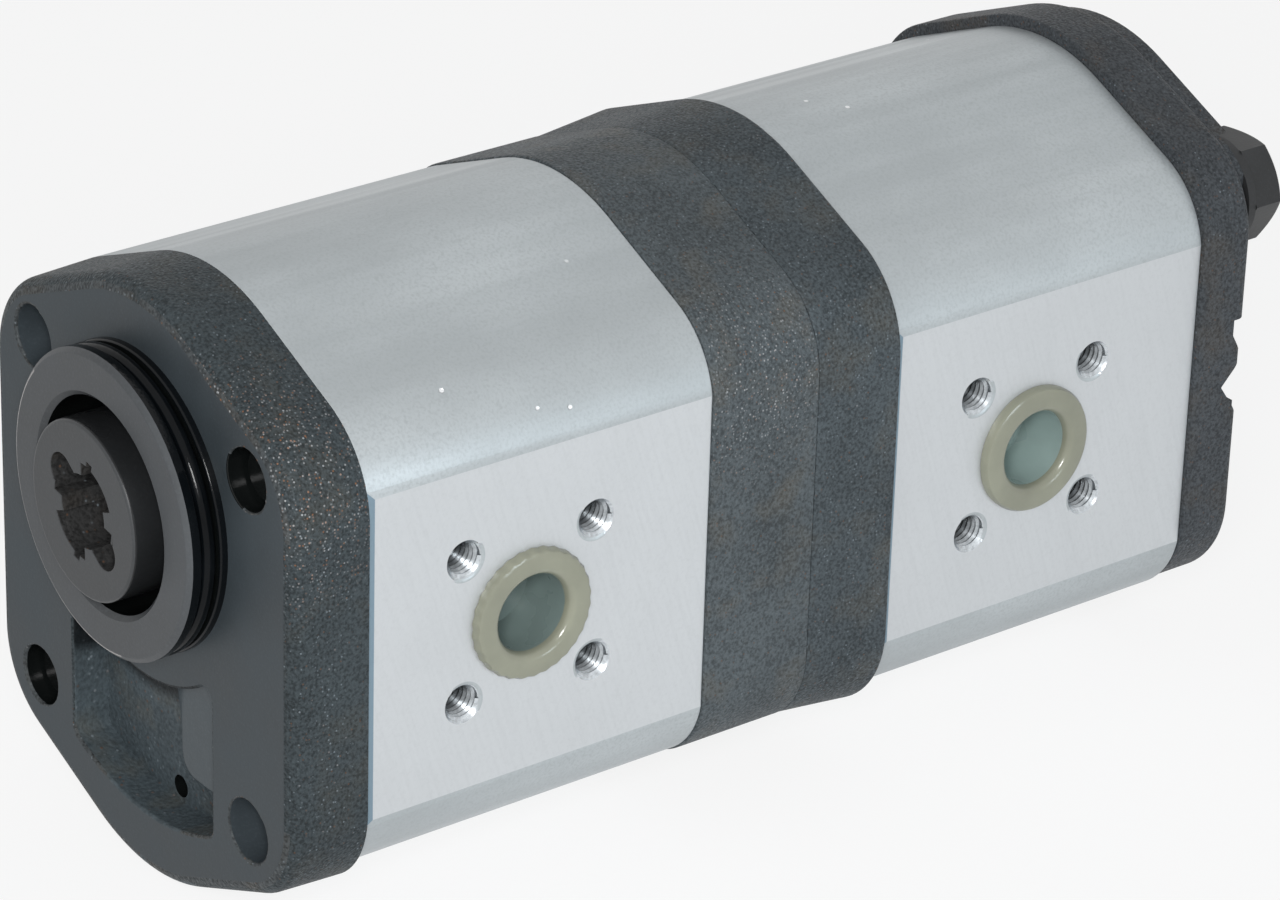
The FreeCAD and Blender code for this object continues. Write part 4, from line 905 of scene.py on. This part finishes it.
ridge_bm = bmesh.new()
ridge_profile = [ridge_bm.verts.new((along * thread_pitch, radius, 0.0)) for radius, along in (
    (thread_outer, -root_share), (thread_inner, -crest_share),
    (thread_inner, crest_share), (thread_outer, root_share))]
ridge_edges = [ridge_bm.edges.new(pair) for pair in zip(ridge_profile, ridge_profile[1:])]
bmesh.ops.spin(ridge_bm, geom=ridge_profile + ridge_edges, axis=(-1.0, 0.0, 0.0),
               cent=(0.0, 0.0, 0.0), dvec=(-thread_pitch / thread_steps, 0.0, 0.0),
               steps=thread_steps * thread_turns, angle=math.tau * thread_turns, use_merge=False)
ridge_mesh = bpy.data.meshes.new("thread_ridge")
ridge_bm.to_mesh(ridge_mesh)
ridge_bm.free()

threads_bm = bmesh.new()
for side, along, reach in flange_screws:
    turn_in = Matrix.Rotation(0.0 if side > 0 else math.pi, 4, "Z")
    for back in (-1, 1):
        for up in (-1, 1):
            made = len(threads_bm.verts)
            threads_bm.from_mesh(ridge_mesh)
            threads_bm.verts.ensure_lookup_table()
            mouth = Matrix.Translation((
                side * thread_mouth, along + back * reach, outline_middle + up * reach))
            bmesh.ops.transform(threads_bm, matrix=mouth @ turn_in, verts=threads_bm.verts[made:])
set_down(threads_bm, "port_threads", (body_tapped,), "housing")

# Centre housing
# Two black iron castings, bolted between the stages, carry the drive on from one gear to the
# next. The second is a little larger all round.
centre_rim_reach = 0.0345
casting_break = 0.0004
casting_sharp = 60.0
# Painted glints and a few rust specks on the upper right shoulder of this casting.
centre_front_cast = cast_finish("centre_front_iron", (0.062, 0.073, 0.079), specks=0.8,
                                glints_and_rust_at=((0.038, 0.088, 0.012), 0.020), rusty=0.3)
centre_rear_cast = cast_finish("centre_rear_iron", (0.047, 0.057, 0.063), specks=0.9)
for name, finish in (("centre_housing_front", centre_front_cast),
                     ("centre_housing_rear", centre_rear_cast)):
    housing_bm = copy_of(name)
    low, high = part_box(name)
    soften(housing_bm, casting_break, 2, lambda p: on_rim(
        p, (low.y, high.y), centre_rim_reach, section_flat_side), casting_sharp)
    set_down(housing_bm, name + "_casting", (finish,), "housing", [name])

# Rear cover
# The iron casting that closes the second stage. It is thick over both shafts, and its sides are
# relieved to clear the pipe flanges.
rear_cover_front = 0.181
rear_rim_reach = 0.036
rear_flat_side = 0.042
rear_cast = cast_finish("rear_cast_iron", (0.043, 0.048, 0.053), glints=0.92, specks=0.9)
rear_bm = copy_of("rear_cover")
soften(rear_bm, casting_break, 2, lambda p: on_rim(
    p, (rear_cover_front,), rear_rim_reach, rear_flat_side), casting_sharp)
set_down(rear_bm, "rear_cover_casting", (rear_cast,), "housing", ["rear_cover"])

# Tie bolts
# Two long bolts of blackened steel run from the rear cover through every section into the front
# cover. Their hexagon heads press on washers, and their front ends are near black: wet with oil,
# and painted shade deep in their holes.
bolt_head_start = 0.1951
bolt_head_end = 0.2013
bolt_head_reach = 0.0085
bolt_head_sharp = 50.0
bolt_head_break = 0.0003
bolt_oil_and_shade_end = 0.014
bolt_black = machined_black("bolt_black", (0.030, 0.031, 0.032), roughness=0.4, gloss=0.22)


def bolt_part(centre, normal):
    """Which finish a face of a tie bolt has."""
    return oil_and_shade_bore if centre.y < bolt_oil_and_shade_end else bolt_black


bolt_bm = copy_of("tie_bolts")
soften(bolt_bm, bolt_head_break, 2, lambda p: (
    bolt_head_start < p.y < bolt_head_end and from_bolt(p) > bolt_head_reach), bolt_head_sharp)
set_down(bolt_bm, "tie_bolt_steel", (bolt_black, oil_and_shade_bore),
         "housing", ["tie_bolts"], bolt_part)
dress("tie_bolt_washers", bolt_black)
